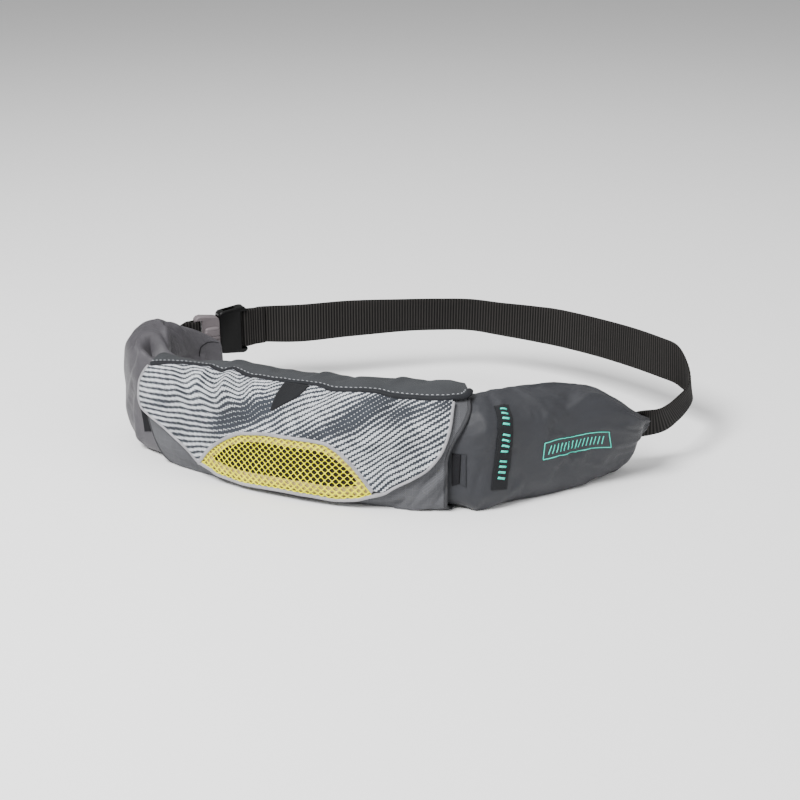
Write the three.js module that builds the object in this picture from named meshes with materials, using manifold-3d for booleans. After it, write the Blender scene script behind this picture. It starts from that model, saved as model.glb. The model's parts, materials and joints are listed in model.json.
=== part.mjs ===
// Inflatable belt pack: a long cloth pouch holds the inner ends of two stuffed wings.
// A printed flap with a net pocket closes over its front, and a webbing strap with
// a side-release buckle makes the loop for the waist. Millimetres, +Z up, front towards -Y.
import * as THREE from 'three';
import { mergeVertices } from 'three/addons/utils/BufferGeometryUtils.js';
import Module from 'manifold-3d';

const wasm = await Module();
wasm.setup();

// Driving sizes
const LOOP_WIDTH = 525;
const LOOP_DEPTH = 300;
const PACK_HEIGHT = 101;
const PACK_THICKNESS = 60;
const WING_HEIGHT = 94;
const WING_THICKNESS = 48;
const POUCH_WALL = 2;
const FLAP_CLOTH = 1.4;
const LINING_CLOTH = 1;
const PATCH_CLOTH = 1;
const STRAP_WIDTH = 38;
const STRAP_THICKNESS = 1.8;
const PIPING_WIDTH = 2.8;
const FLAT_PIPING_WIDTH = 3.6;
const BINDING_WIDTH = 5;
const POUCH_HEM_WIDTH = 4;
const FEMALE_LENGTH = 30;
const MALE_LENGTH = 26;
const BUCKLE_THICKNESS = 12;
const BUCKLE_RIM = 4.4;
const BUCKLE_BAR = 4;
const STRAP_TAIL = 22;

// Clearances
const GAP = 0.35;
const LAYER_GAP = 0.6;
const POCKET_GAP = 0.5;

// Where the cloth layers lie, measured out from the pouch's outer face
const LINING_IN = LAYER_GAP;
const FLAP_IN = LINING_IN + LINING_CLOTH + GAP / 3;
const FLAP_OUT = FLAP_IN + FLAP_CLOTH;
const FLAP_MIDDLE = (FLAP_IN + FLAP_OUT) / 2;

// Sections are rounded boxes: a higher power gives a squarer edge
const UPPER_POWER = 2.7;
const LOWER_POWER = 4.6;
const BOTTOM_FLATTENING = 0.03;

// Plan of the pack's middle line, from the left tip round the front to the right tip
const SPINE = [
  { across: -0.328, depth: 0.622 },
  { across: -0.369, depth: 0.602 },
  { across: -0.408, depth: 0.552 },
  { across: -0.436, depth: 0.470 },
  { across: -0.442, depth: 0.367 },
  { across: -0.421, depth: 0.273 },
  { across: -0.377, depth: 0.193 },
  { across: -0.305, depth: 0.120 },
  { across: -0.229, depth: 0.047 },
  { across: -0.152, depth: -0.013 },
  { across: -0.086, depth: -0.050 },
  { across: -0.019, depth: -0.070 },
  { across: 0.065, depth: -0.087 },
  { across: 0.126, depth: -0.077 },
  { across: 0.181, depth: -0.043 },
  { across: 0.232, depth: -0.013 },
  { across: 0.286, depth: 0.017 },
  { across: 0.352, depth: 0.050 },
  { across: 0.413, depth: 0.087 },
];

// How far each section leans out at its top, for one of rise
const LEAN = [
  { at: 0.00, lean: 0.00 },
  { at: 0.25, lean: 0.00 },
  { at: 0.36, lean: -0.08 },
  { at: 0.45, lean: -0.12 },
  { at: 0.72, lean: -0.12 },
  { at: 0.80, lean: -0.05 },
  { at: 0.89, lean: 0.03 },
  { at: 0.92, lean: 0.12 },
  { at: 0.95, lean: 0.30 },
  { at: 0.98, lean: 0.50 },
  { at: 1.00, lean: 0.60 },
];

// Sections of the pouch, front and back as shares of its thickness, low and high of its height
const POUCH = [
  { at: 0.235, front: 0.40, back: 0.43, low: 0.000, high: 0.95 },
  { at: 0.280, front: 0.42, back: 0.43, low: 0.000, high: 0.96 },
  { at: 0.360, front: 0.46, back: 0.43, low: 0.000, high: 0.95 },
  { at: 0.450, front: 0.48, back: 0.43, low: 0.000, high: 0.95 },
  { at: 0.600, front: 0.51, back: 0.43, low: 0.000, high: 0.97 },
  { at: 0.700, front: 0.55, back: 0.43, low: 0.000, high: 0.97 },
  { at: 0.720, front: 0.55, back: 0.43, low: 0.000, high: 0.95 },
  { at: 0.740, front: 0.54, back: 0.42, low: 0.000, high: 0.91 },
];
const POUCH_FROM = 0.264;
const POUCH_TO = 0.693;

// Sections of the two wings, as shares of the wing's thickness and height
const LEFT_WING = [
  { at: 0.006, front: 0.08, back: 0.12, low: 0.230, high: 0.68 },
  { at: 0.030, front: 0.15, back: 0.20, low: 0.190, high: 0.78 },
  { at: 0.080, front: 0.28, back: 0.34, low: 0.106, high: 0.97 },
  { at: 0.140, front: 0.43, back: 0.45, low: 0.043, high: 1.09 },
  { at: 0.180, front: 0.49, back: 0.50, low: 0.020, high: 1.08 },
  { at: 0.225, front: 0.50, back: 0.50, low: 0.015, high: 1.02 },
  { at: 0.258, front: 0.43, back: 0.43, low: 0.033, high: 0.96 },
  { at: 0.320, front: 0.43, back: 0.42, low: 0.033, high: 0.94 },
  { at: 0.440, front: 0.45, back: 0.42, low: 0.033, high: 0.94 },
  { at: 0.475, front: 0.36, back: 0.34, low: 0.033, high: 0.84 },
];
const RIGHT_WING = [
  { at: 0.487, front: 0.36, back: 0.34, low: 0.033, high: 0.84 },
  { at: 0.520, front: 0.45, back: 0.42, low: 0.033, high: 0.94 },
  { at: 0.685, front: 0.54, back: 0.42, low: 0.033, high: 0.95 },
  { at: 0.701, front: 0.58, back: 0.43, low: 0.033, high: 0.95 },
  { at: 0.742, front: 0.75, back: 0.48, low: 0.003, high: 0.96 },
  { at: 0.780, front: 0.65, back: 0.50, low: 0.003, high: 0.97 },
  { at: 0.840, front: 0.58, back: 0.50, low: 0.003, high: 0.96 },
  { at: 0.890, front: 0.53, back: 0.46, low: 0.005, high: 0.94 },
  { at: 0.920, front: 0.48, back: 0.40, low: 0.012, high: 0.89 },
  { at: 0.945, front: 0.41, back: 0.30, low: 0.030, high: 0.79 },
  { at: 0.970, front: 0.31, back: 0.20, low: 0.080, high: 0.67 },
  { at: 0.980, front: 0.24, back: 0.15, low: 0.160, high: 0.62 },
  { at: 0.988, front: 0.14, back: 0.12, low: 0.320, high: 0.59 },
  { at: 1.000, front: 0.08, back: 0.08, low: 0.400, high: 0.54 },
];

// Folds and dents: where along and around, how long and wide, depth as a share of the thickness
const FOLDS = [
  { at: 0.345, around: 50, length: 0.012, spread: 22, depth: 0.022 },
  { at: 0.372, around: 48, length: 0.010, spread: 20, depth: -0.024 },
  { at: 0.398, around: 50, length: 0.010, spread: 24, depth: 0.024 },
  { at: 0.425, around: 46, length: 0.011, spread: 22, depth: -0.026 },
  { at: 0.452, around: 50, length: 0.012, spread: 22, depth: 0.020 },
  { at: 0.440, around: 22, length: 0.022, spread: 14, depth: -0.035 },
  { at: 0.535, around: 40, length: 0.016, spread: 20, depth: -0.022 },
  { at: 0.610, around: 40, length: 0.018, spread: 18, depth: -0.036 },
  { at: 0.650, around: 24, length: 0.016, spread: 14, depth: 0.025 },
  { at: 0.668, around: 44, length: 0.014, spread: 16, depth: -0.030 },
  { at: 0.640, around: -32, length: 0.020, spread: 10, depth: -0.020 },
  { at: 0.205, around: 150, length: 0.016, spread: 26, depth: -0.120 },
  { at: 0.165, around: 140, length: 0.012, spread: 30, depth: 0.050 },
  { at: 0.120, around: 150, length: 0.012, spread: 26, depth: -0.040 },
  { at: 0.085, around: 130, length: 0.010, spread: 30, depth: 0.035 },
  { at: 0.190, around: 60, length: 0.014, spread: 30, depth: -0.030 },
  { at: 0.725, around: -50, length: 0.010, spread: 24, depth: 0.040 },
  { at: 0.868, around: 70, length: 0.016, spread: 26, depth: -0.040 },
  { at: 0.905, around: -30, length: 0.020, spread: 20, depth: -0.030 },
];

// Lines on the pouch's cloth, at a share of the spine and so many degrees round the section
const BINDING_LINE = [
  { at: 0.2620, around: 50 },
  { at: 0.2970, around: 61 },
  { at: 0.3320, around: 67 },
  { at: 0.3650, around: 66 },
  { at: 0.3900, around: 70 },
  { at: 0.4180, around: 65 },
  { at: 0.4800, around: 66 },
  { at: 0.5180, around: 67 },
  { at: 0.5480, around: 61 },
  { at: 0.6000, around: 62 },
  { at: 0.6300, around: 57 },
  { at: 0.6900, around: 57 },
  { at: 0.7130, around: 60 },
  { at: 0.7240, around: 68 },
  { at: 0.7290, around: 80 },
];
const FLAP_BACK_AROUND = 150;
const FLAP_LEFT = [
  { at: 0.2595, around: 47 },
  { at: 0.2520, around: 35 },
  { at: 0.2480, around: 25 },
  { at: 0.2475, around: 13 },
  { at: 0.2520, around: 4 },
  { at: 0.2645, around: -1 },
  { at: 0.2815, around: -5 },
  { at: 0.3035, around: -12 },
  { at: 0.3350, around: -23 },
  { at: 0.3575, around: -30 },
];
const NET_LOW = [
  { at: 0.3700, around: -34 },
  { at: 0.3860, around: -38 },
  { at: 0.4210, around: -40 },
  { at: 0.4740, around: -39 },
  { at: 0.5200, around: -39 },
  { at: 0.5550, around: -40 },
  { at: 0.5800, around: -38 },
  { at: 0.6000, around: -34 },
];
const FLAP_RIGHT = [
  { at: 0.6180, around: -31 },
  { at: 0.6330, around: -26 },
  { at: 0.6565, around: -17 },
  { at: 0.6725, around: -9 },
  { at: 0.6870, around: 4 },
  { at: 0.6955, around: 16 },
  { at: 0.7020, around: 31 },
  { at: 0.7065, around: 46 },
  { at: 0.7085, around: 53 },
];
const NET_HIGH = [
  { at: 0.3640, around: -29 },
  { at: 0.3750, around: -20 },
  { at: 0.3880, around: -11 },
  { at: 0.4060, around: -1 },
  { at: 0.4255, around: 5 },
  { at: 0.4765, around: 9 },
  { at: 0.5180, around: 9 },
  { at: 0.5400, around: 8 },
  { at: 0.5560, around: 3 },
  { at: 0.5700, around: -5 },
  { at: 0.5830, around: -15 },
  { at: 0.5980, around: -27 },
];
const TAB_LEFT = [{ at: 0.4745, around: 63 }, { at: 0.4755, around: 33 }];
const TAB_RIGHT = [{ at: 0.5115, around: 63 }, { at: 0.5080, around: 50 }, { at: 0.4790, around: 33 }];
const LABEL_LEFT = [{ at: 0.7468, around: -28 }, { at: 0.7592, around: 60 }];
const LABEL_RIGHT = [{ at: 0.7640, around: -31 }, { at: 0.7785, around: 57 }];
const RIGHT_HOOK_LEFT = [{ at: 0.7015, around: -27 }, { at: 0.7015, around: 7 }];
const RIGHT_HOOK_RIGHT = [{ at: 0.7100, around: -24 }, { at: 0.7115, around: 7 }];
const RIGHT_BACKING_RIGHT = [{ at: 0.7170, around: -26 }, { at: 0.7170, around: 7 }];
const LEFT_HOOK_LEFT = [{ at: 0.2440, around: -27 }, { at: 0.2420, around: 10 }];
const LEFT_HOOK_RIGHT = [{ at: 0.2550, around: -25 }, { at: 0.2550, around: 10 }];

// Net holes: solid borders in columns and rows, then open cells between them
const NET_COLUMNS = 26;
const NET_ROWS = 7;
const NET_END_COLUMNS = 3;
const NET_HOLE_SHARE = 0.8;

// The buckle's joint between its halves: place, and turn of its long way in plan
const BUCKLE = { across: -0.346, depth: 0.718, height: 0.630, turn: 28 };

// Route of the strap from the buckle to the right wing, and which way its upper edge leans
const STRAP_ROUTE = [
  { across: -0.190, depth: 0.795, height: 0.645, leanX: 0.00, leanY: 0.16 },
  { across: -0.097, depth: 0.828, height: 0.660, leanX: 0.00, leanY: 0.03 },
  { across: 0.000, depth: 0.857, height: 0.663, leanX: 0.00, leanY: -0.20 },
  { across: 0.078, depth: 0.880, height: 0.653, leanX: 0.00, leanY: -0.25 },
  { across: 0.137, depth: 0.883, height: 0.644, leanX: 0.00, leanY: -0.25 },
  { across: 0.194, depth: 0.863, height: 0.620, leanX: 0.00, leanY: -0.18 },
  { across: 0.257, depth: 0.815, height: 0.618, leanX: 0.00, leanY: -0.02 },
  { across: 0.305, depth: 0.765, height: 0.623, leanX: 0.02, leanY: 0.12 },
  { across: 0.375, depth: 0.660, height: 0.630, leanX: 0.00, leanY: 0.20 },
  { across: 0.430, depth: 0.543, height: 0.650, leanX: 0.03, leanY: 0.30 },
  { across: 0.469, depth: 0.453, height: 0.655, leanX: 0.00, leanY: 0.36 },
  { across: 0.491, depth: 0.400, height: 0.650, leanX: -0.04, leanY: 0.20 },
  { across: 0.503, depth: 0.360, height: 0.600, leanX: -0.10, leanY: -0.26 },
  { across: 0.510, depth: 0.323, height: 0.535, leanX: -0.24, leanY: -0.75 },
  { across: 0.505, depth: 0.280, height: 0.495, leanX: -0.46, leanY: -1.08 },
  { across: 0.486, depth: 0.217, height: 0.475, leanX: -0.66, leanY: -1.10 },
  { across: 0.463, depth: 0.157, height: 0.455, leanX: -0.60, leanY: -0.94 },
  { across: 0.438, depth: 0.123, height: 0.425, leanX: -0.32, leanY: -0.68 },
];
// Where the strap's front end lies on the right wing, and the stub on the left one
const STRAP_SEAT = [0.985, 0.965, 0.945, 0.930];
const STUB_SEAT = [0.105, 0.090, 0.075];
const STUB_HEIGHT = 0.50;

const group = new THREE.Group();

// Straight blend between two numbers
function mix(a, b, share) {
  return a + (b - a) * share;
}

// Smooth value of one column of a table at a place along it, with no overshoot
function column(rows, name, at, key = 'at') {
  const last = rows.length - 1;
  const place = THREE.MathUtils.clamp(at, rows[0][key], rows[last][key]);
  let index = 0;
  while (index < last - 1 && place >= rows[index + 1][key]) index += 1;
  const slope = (k) => (rows[k + 1][name] - rows[k][name]) / (rows[k + 1][key] - rows[k][key]);
  const tangent = (k) => {
    if (k === 0) return slope(0);
    if (k === last) return slope(last - 1);
    const before = slope(k - 1);
    const after = slope(k);
    return before * after <= 0 ? 0 : (2 * before * after) / (before + after);
  };
  const span = rows[index + 1][key] - rows[index][key];
  const t = (place - rows[index][key]) / span;
  const rise = t * t * (3 - 2 * t);
  return mix(rows[index][name], rows[index + 1][name], rise)
    + span * t * (1 - t) * ((1 - t) * tangent(index) - t * tangent(index + 1));
}

const spine = new THREE.CatmullRomCurve3(
  SPINE.map((row) => new THREE.Vector3(row.across * LOOP_WIDTH, row.depth * LOOP_DEPTH, 0)),
  false,
  'centripetal',
);
spine.arcLengthDivisions = 600;
const SPINE_LENGTH = spine.getLength();
// Millimetres of cloth for one degree round the section
const GIRTH_STEP = THREE.MathUtils.degToRad(PACK_HEIGHT / 2);

function foldDepth(at, around) {
  let sum = 0;
  for (const fold of FOLDS) {
    const along = (at - fold.at) / fold.length;
    const turn = (((around - fold.around + 540) % 360) - 180) / fold.spread;
    sum += fold.depth * PACK_THICKNESS * Math.exp(-along * along - turn * turn);
  }
  return sum;
}

// A body of the pack: its table and the sizes that the table's shares belong to
const pouchBody = { rows: POUCH, thickness: PACK_THICKNESS, height: PACK_HEIGHT };
const leftBody = { rows: LEFT_WING, thickness: WING_THICKNESS, height: WING_HEIGHT };
const rightBody = { rows: RIGHT_WING, thickness: WING_THICKNESS, height: WING_HEIGHT };

// Point on a body at a share of the spine, degrees round from its outer middle (90 is the top),
// and an offset out from its face
function skin(body, at, around, offset) {
  const angle = THREE.MathUtils.degToRad(around);
  const outward = Math.cos(angle);
  const upward = Math.sin(angle);
  const side = outward > 0 ? 'front' : 'back';
  const reach = column(body.rows, side, at) * body.thickness + offset;
  const low = column(body.rows, 'low', at) * body.height;
  const high = column(body.rows, 'high', at) * body.height;
  const middle = (low + high) / 2;
  const half = ((high - low) / 2) * (upward < 0 ? 1 + BOTTOM_FLATTENING : 1) + offset;
  const power = upward < 0 ? LOWER_POWER : UPPER_POWER;
  const radius = (Math.abs(outward) ** power + Math.abs(upward) ** power) ** (-1 / power);
  const fold = foldDepth(at, around);
  const height = Math.max(middle + half * upward * radius + fold * upward, low - offset, 0);
  const lean = column(LEAN, 'lean', at) * (height - middle);
  const out = reach * outward * radius + fold * outward + lean;
  const base = spine.getPointAt(at);
  const tangent = spine.getTangentAt(at);
  return new THREE.Vector3(base.x + tangent.y * out, base.y - tangent.x * out, height);
}

// Closed mesh from vertices and triangles, turned so that its faces point out
function closedGeometry(vertices, triangles) {
  let volume = 0;
  const cross = new THREE.Vector3();
  for (const [a, b, c] of triangles) {
    volume += cross.crossVectors(vertices[b], vertices[c]).dot(vertices[a]);
  }
  const turned = volume < 0 ? triangles.map(([a, b, c]) => [a, c, b]) : triangles;
  const geometry = new THREE.BufferGeometry();
  geometry.setAttribute('position', new THREE.Float32BufferAttribute(vertices.flatMap((v) => v.toArray()), 3));
  geometry.setIndex(turned.flat());
  geometry.computeVertexNormals();
  return geometry;
}

// Adds the two triangles of a quad, split along its shorter diagonal
function addQuad(vertices, triangles, a, b, c, d) {
  if (vertices[a].distanceTo(vertices[c]) <= vertices[b].distanceTo(vertices[d])) {
    triangles.push([a, b, c], [a, c, d]);
  } else {
    triangles.push([a, b, d], [b, c, d]);
  }
}

// Joins rings of equal count into a skin; the last ring may join the first
function addRings(vertices, triangles, start, rings, count, closed) {
  for (let i = 0; i < (closed ? rings : rings - 1); i += 1) {
    const here = start + i * count;
    const next = start + ((i + 1) % rings) * count;
    for (let j = 0; j < count; j += 1) {
      const k = (j + 1) % count;
      addQuad(vertices, triangles, here + j, next + j, next + k, here + k);
    }
  }
}

// Solid through rings of points, with its ends closed by flat fans, or joined end to end
function loft(rings, closed = false) {
  const count = rings[0].length;
  const vertices = rings.flat();
  const triangles = [];
  addRings(vertices, triangles, 0, rings.length, count, closed);
  if (!closed) {
    for (const [first, flip] of [[0, true], [(rings.length - 1) * count, false]]) {
      const centre = new THREE.Vector3();
      for (let j = 0; j < count; j += 1) centre.addScaledVector(vertices[first + j], 1 / count);
      const middle = vertices.push(centre) - 1;
      for (let j = 0; j < count; j += 1) {
        const edge = [first + j, first + ((j + 1) % count)];
        triangles.push(flip ? [middle, ...edge] : [middle, ...edge.reverse()]);
      }
    }
  }
  return closedGeometry(vertices, triangles);
}

// Open-ended tube wall between outer and inner rings
function sleeve(outer, inner) {
  const count = outer[0].length;
  const vertices = [...outer.flat(), ...inner.flat()];
  const triangles = [];
  const inside = outer.length * count;
  addRings(vertices, triangles, 0, outer.length, count, false);
  const innerSkin = [];
  addRings(vertices, innerSkin, inside, inner.length, count, false);
  triangles.push(...innerSkin.map(([a, b, c]) => [a, c, b]));
  const last = (outer.length - 1) * count;
  for (let j = 0; j < count; j += 1) {
    const k = (j + 1) % count;
    addQuad(vertices, triangles, j, k, inside + k, inside + j);
    addQuad(vertices, triangles, last + k, last + j, inside + last + j, inside + last + k);
  }
  return closedGeometry(vertices, triangles);
}

// Even places along a body between two shares of the spine
function places(from, to, count) {
  return Array.from({ length: count + 1 }, (_, i) => mix(from, to, i / count));
}

// Degrees round a section, closer together on its four rounded edges
function turns(count) {
  return Array.from({ length: count }, (_, j) => {
    const angle = (360 * j) / count;
    return angle + 6 * Math.sin(THREE.MathUtils.degToRad(4 * angle));
  });
}

function ring(body, at, angles, offset) {
  return angles.map((around) => skin(body, at, around, offset));
}

// Point at a share of the way along a line of cloth rows, with its direction
function linePoint(rows, share) {
  const steps = rows.slice(1).map((row, i) => Math.hypot(
    (row.at - rows[i].at) * SPINE_LENGTH,
    (row.around - rows[i].around) * GIRTH_STEP,
  ));
  const total = steps.reduce((sum, step) => sum + step, 0);
  const places = [0];
  for (const step of steps) places.push(places.at(-1) + step / total);
  const table = rows.map((row, i) => ({ at: row.at, around: row.around, way: places[i] }));
  return { at: column(table, 'at', share, 'way'), around: column(table, 'around', share, 'way') };
}

// Same line of cloth rows, evenly resampled and moved sideways: a positive distance is to its left
function shifted(rows, distance, count = 24) {
  const samples = places(0, 1, count).map((share) => linePoint(rows, share));
  return samples.map((row, i) => {
    const before = samples[Math.max(i - 1, 0)];
    const after = samples[Math.min(i + 1, count)];
    const along = (after.at - before.at) * SPINE_LENGTH;
    const round = (after.around - before.around) * GIRTH_STEP;
    const size = Math.hypot(along, round);
    return {
      at: row.at - ((round / size) * distance) / SPINE_LENGTH,
      around: row.around + ((along / size) * distance) / GIRTH_STEP,
    };
  });
}

// Sheet on a body between two lines, from an inner to an outer offset.
// Cells that isHole picks are cut through with a diamond.
function sheet(body, lineA, lineB, columns, rows, inner, outer, isHole = () => false) {
  const vertices = [];
  const triangles = [];
  const cloth = (i, j) => {
    const a = lineA(i / columns);
    const b = lineB(i / columns);
    return { at: mix(a.at, b.at, j / rows), around: mix(a.around, b.around, j / rows) };
  };
  const stride = rows + 1;
  for (const offset of [outer, inner]) {
    for (let i = 0; i <= columns; i += 1) {
      for (let j = 0; j <= rows; j += 1) {
        const place = cloth(i, j);
        vertices.push(skin(body, place.at, place.around, offset));
      }
    }
  }
  const back = (columns + 1) * stride;
  for (let i = 0; i < columns; i += 1) {
    for (let j = 0; j < rows; j += 1) {
      const corners = [i * stride + j, (i + 1) * stride + j, (i + 1) * stride + j + 1, i * stride + j + 1];
      if (!isHole(i, j)) {
        addQuad(vertices, triangles, ...corners);
        addQuad(vertices, triangles, ...corners.map((k) => k + back).reverse());
        continue;
      }
      const tips = [[0.5, 0], [1, 0.5], [0.5, 1], [0, 0.5]].map(([s, t]) => [
        mix(0.5, s, NET_HOLE_SHARE),
        mix(0.5, t, NET_HOLE_SHARE),
      ]);
      const first = vertices.length;
      for (const offset of [outer, inner]) {
        for (const [s, t] of tips) {
          const place = cloth(i + s, j + t);
          vertices.push(skin(body, place.at, place.around, offset));
        }
      }
      for (let k = 0; k < 4; k += 1) {
        const next = (k + 1) % 4;
        const tip = first + k;
        const before = first + ((k + 3) % 4);
        triangles.push([corners[k], corners[next], tip], [corners[k], tip, before]);
        triangles.push([corners[next] + back, corners[k] + back, tip + 4]);
        triangles.push([tip + 4, corners[k] + back, before + 4]);
        triangles.push([tip, tip + 4, before + 4], [tip, before + 4, before]);
      }
    }
  }
  for (let i = 0; i < columns; i += 1) {
    addQuad(vertices, triangles, (i + 1) * stride, i * stride, back + i * stride, back + (i + 1) * stride);
    const a = i * stride + rows;
    addQuad(vertices, triangles, a, a + stride, a + stride + back, a + back);
  }
  for (let j = 0; j < rows; j += 1) {
    addQuad(vertices, triangles, j, j + 1, j + 1 + back, j + back);
    const a = columns * stride + j;
    addQuad(vertices, triangles, a + 1, a, a + back, a + 1 + back);
  }
  return closedGeometry(vertices, triangles);
}

// Cord sewn along a line of cloth rows: an oval section, its middle at an offset from the face
function cordOnCloth(body, rows, width, thickness, offset, steps, sides = 6, closed = false) {
  const rings = [];
  for (let i = 0; i < (closed ? steps : steps + 1); i += 1) {
    const share = i / steps;
    const here = linePoint(rows, share);
    const before = linePoint(rows, Math.max(share - 0.5 / steps, 0));
    const after = linePoint(rows, Math.min(share + 0.5 / steps, 1));
    const along = (after.at - before.at) * SPINE_LENGTH;
    const round = (after.around - before.around) * GIRTH_STEP;
    const size = Math.hypot(along, round);
    rings.push(Array.from({ length: sides }, (_, k) => {
      const angle = (2 * Math.PI * (k + 0.5)) / sides;
      const aside = (Math.cos(angle) * width) / 2;
      const out = offset + (Math.sin(angle) * thickness) / 2;
      const at = here.at - ((round / size) * aside) / SPINE_LENGTH;
      return skin(body, at, here.around + ((along / size) * aside) / GIRTH_STEP, out);
    }));
  }
  return loft(rings, closed);
}

// Flat webbing through centre points, each with the direction of its width
function webbing(centres, widthWays, width, thickness, perSpan) {
  const route = new THREE.CatmullRomCurve3(centres, false, 'catmullrom', 0.5);
  const ways = new THREE.CatmullRomCurve3(widthWays, false, 'catmullrom', 0.5);
  const count = (centres.length - 1) * perSpan;
  const rings = [];
  for (let i = 0; i <= count; i += 1) {
    const centre = route.getPoint(i / count);
    const way = ways.getPoint(i / count).normalize();
    const thick = route.getTangent(i / count).cross(way).normalize();
    rings.push([[1, 1], [-1, 1], [-1, -1], [1, -1]].map(([w, t]) => centre.clone()
      .addScaledVector(way, (w * width) / 2)
      .addScaledVector(thick, (t * thickness) / 2)));
  }
  return loft(rings);
}

function addPart(name, geometry, color, roughness) {
  const material = new THREE.MeshStandardMaterial({ color, roughness, metalness: 0 });
  const mesh = new THREE.Mesh(geometry, material);
  mesh.name = name;
  group.add(mesh);
  return mesh;
}

// Pouch: an open-ended sleeve with a bound edge at each end
function addPouch() {
  const angles = turns(20);
  const stations = places(POUCH_FROM, POUCH_TO, 20);
  const outer = stations.map((at) => ring(pouchBody, at, angles, 0));
  const inner = stations.map((at) => ring(pouchBody, at, angles, -POUCH_WALL));
  addPart('pouch', sleeve(outer, inner), 0x77787c, 0.8);
  const seat = (POUCH_HEM_WIDTH / 2 + GAP) / SPINE_LENGTH;
  const hem = (name, at) => {
    const rows = [{ at, around: 0 }, { at, around: 360 }];
    const thickness = POUCH_WALL + 2 * GAP;
    addPart(name, cordOnCloth(pouchBody, rows, POUCH_HEM_WIDTH, thickness, -POUCH_WALL / 2, 22, 5, true), 0x5a5b60, 0.8);
  };
  hem('pouch_edge_left', POUCH_FROM - seat);
  hem('pouch_edge_right', POUCH_TO + seat);
}

// Wings: stuffed sleeves whose inner ends lie in the pouch
function addWings() {
  const angles = turns(16);
  const wing = (name, body, mouth, countBefore, countAfter, color) => {
    const from = body.rows[0].at;
    const to = body.rows.at(-1).at;
    const stations = [...places(from, mouth, countBefore), ...places(mouth, to, countAfter).slice(1)];
    addPart(name, loft(stations.map((at) => ring(body, at, angles, 0))), color, 0.7);
  };
  wing('left_wing', leftBody, POUCH_FROM, 18, 5, 0x6b696d);
  wing('right_wing', rightBody, POUCH_TO, 5, 22, 0x4b4d52);
}

// Flap: hood over the top, printed front, net pocket with its lining, and the edgings
function addFlap() {
  const half = BINDING_WIDTH / 2 + 3 * GAP;
  const hoodEdge = shifted(BINDING_LINE, half);
  const hoodBack = BINDING_LINE.map((row) => ({ at: row.at, around: FLAP_BACK_AROUND }));
  const asLine = (rows) => (share) => linePoint(rows, share);
  addPart(
    'flap_top',
    sheet(pouchBody, asLine(hoodEdge), asLine(hoodBack), 24, 6, FLAP_IN, FLAP_OUT),
    0x5b5d61,
    0.8,
  );
  addPart(
    'flap_binding',
    cordOnCloth(pouchBody, BINDING_LINE, BINDING_WIDTH, FLAP_CLOTH + 2 * PATCH_CLOTH, FLAP_MIDDLE, 32, 5),
    0x303236,
    0.7,
  );
  const edge = [...FLAP_LEFT, ...NET_LOW, ...FLAP_RIGHT];
  const netEdge = shifted(NET_HIGH, FLAT_PIPING_WIDTH / 2 + 2 * GAP);
  const panelTop = shifted(BINDING_LINE, -half);
  const panelLow = [...FLAP_LEFT.slice(3), ...netEdge, ...FLAP_RIGHT].sort((a, b) => a.at - b.at);
  const panelFrom = FLAP_LEFT[3].at;
  const panelTo = FLAP_RIGHT.at(-1).at;
  const left = [...FLAP_LEFT.slice(0, 4)].reverse();
  const topRows = [...left, ...panelTop.filter((row) => row.at > left.at(-1).at + 0.002)];
  // Columns lie closer together at the flap's two rounded ends
  const bound = (rows) => (share) => {
    const eased = mix(share, (1 - Math.cos(Math.PI * share)) / 2, 0.6);
    const at = mix(panelFrom, panelTo, eased);
    return { at, around: column(rows, 'around', at) };
  };
  addPart(
    'flap_panel',
    sheet(pouchBody, bound(panelLow), bound(topRows), 32, 8, FLAP_IN, FLAP_OUT),
    0x9a9ea2,
    0.6,
  );
  addPart(
    'flap_piping',
    cordOnCloth(pouchBody, shifted(edge, -(PIPING_WIDTH / 2 + 2 * GAP), 60), PIPING_WIDTH, PIPING_WIDTH, FLAP_MIDDLE, 52, 5),
    0xb9bbc0,
    0.5,
  );
  addPart(
    'net_piping',
    cordOnCloth(pouchBody, NET_HIGH, FLAT_PIPING_WIDTH, PIPING_WIDTH, FLAP_MIDDLE, 26, 5),
    0xb9bbc0,
    0.5,
  );
  const netTop = asLine(shifted(NET_HIGH, -(FLAT_PIPING_WIDTH / 2 + GAP)));
  const netLow = asLine(NET_LOW);
  const lastColumn = NET_COLUMNS - NET_END_COLUMNS;
  const isHole = (i, j) => i >= NET_END_COLUMNS && i < lastColumn && j > 0 && j < NET_ROWS - 1;
  addPart(
    'net_panel',
    sheet(pouchBody, netLow, netTop, NET_COLUMNS, NET_ROWS, FLAP_IN, FLAP_OUT, isHole),
    0xdbd84a,
    0.7,
  );
  addPart(
    'net_lining',
    sheet(pouchBody, netLow, netTop, 16, 5, LINING_IN, LINING_IN + LINING_CLOTH),
    0x1f1b17,
    0.9,
  );
  addPart(
    'tab',
    sheet(pouchBody, asLine(TAB_LEFT), asLine(TAB_RIGHT), 4, 2, FLAP_OUT + GAP, FLAP_OUT + GAP + PATCH_CLOTH),
    0x1c1e22,
    0.8,
  );
}

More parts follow.
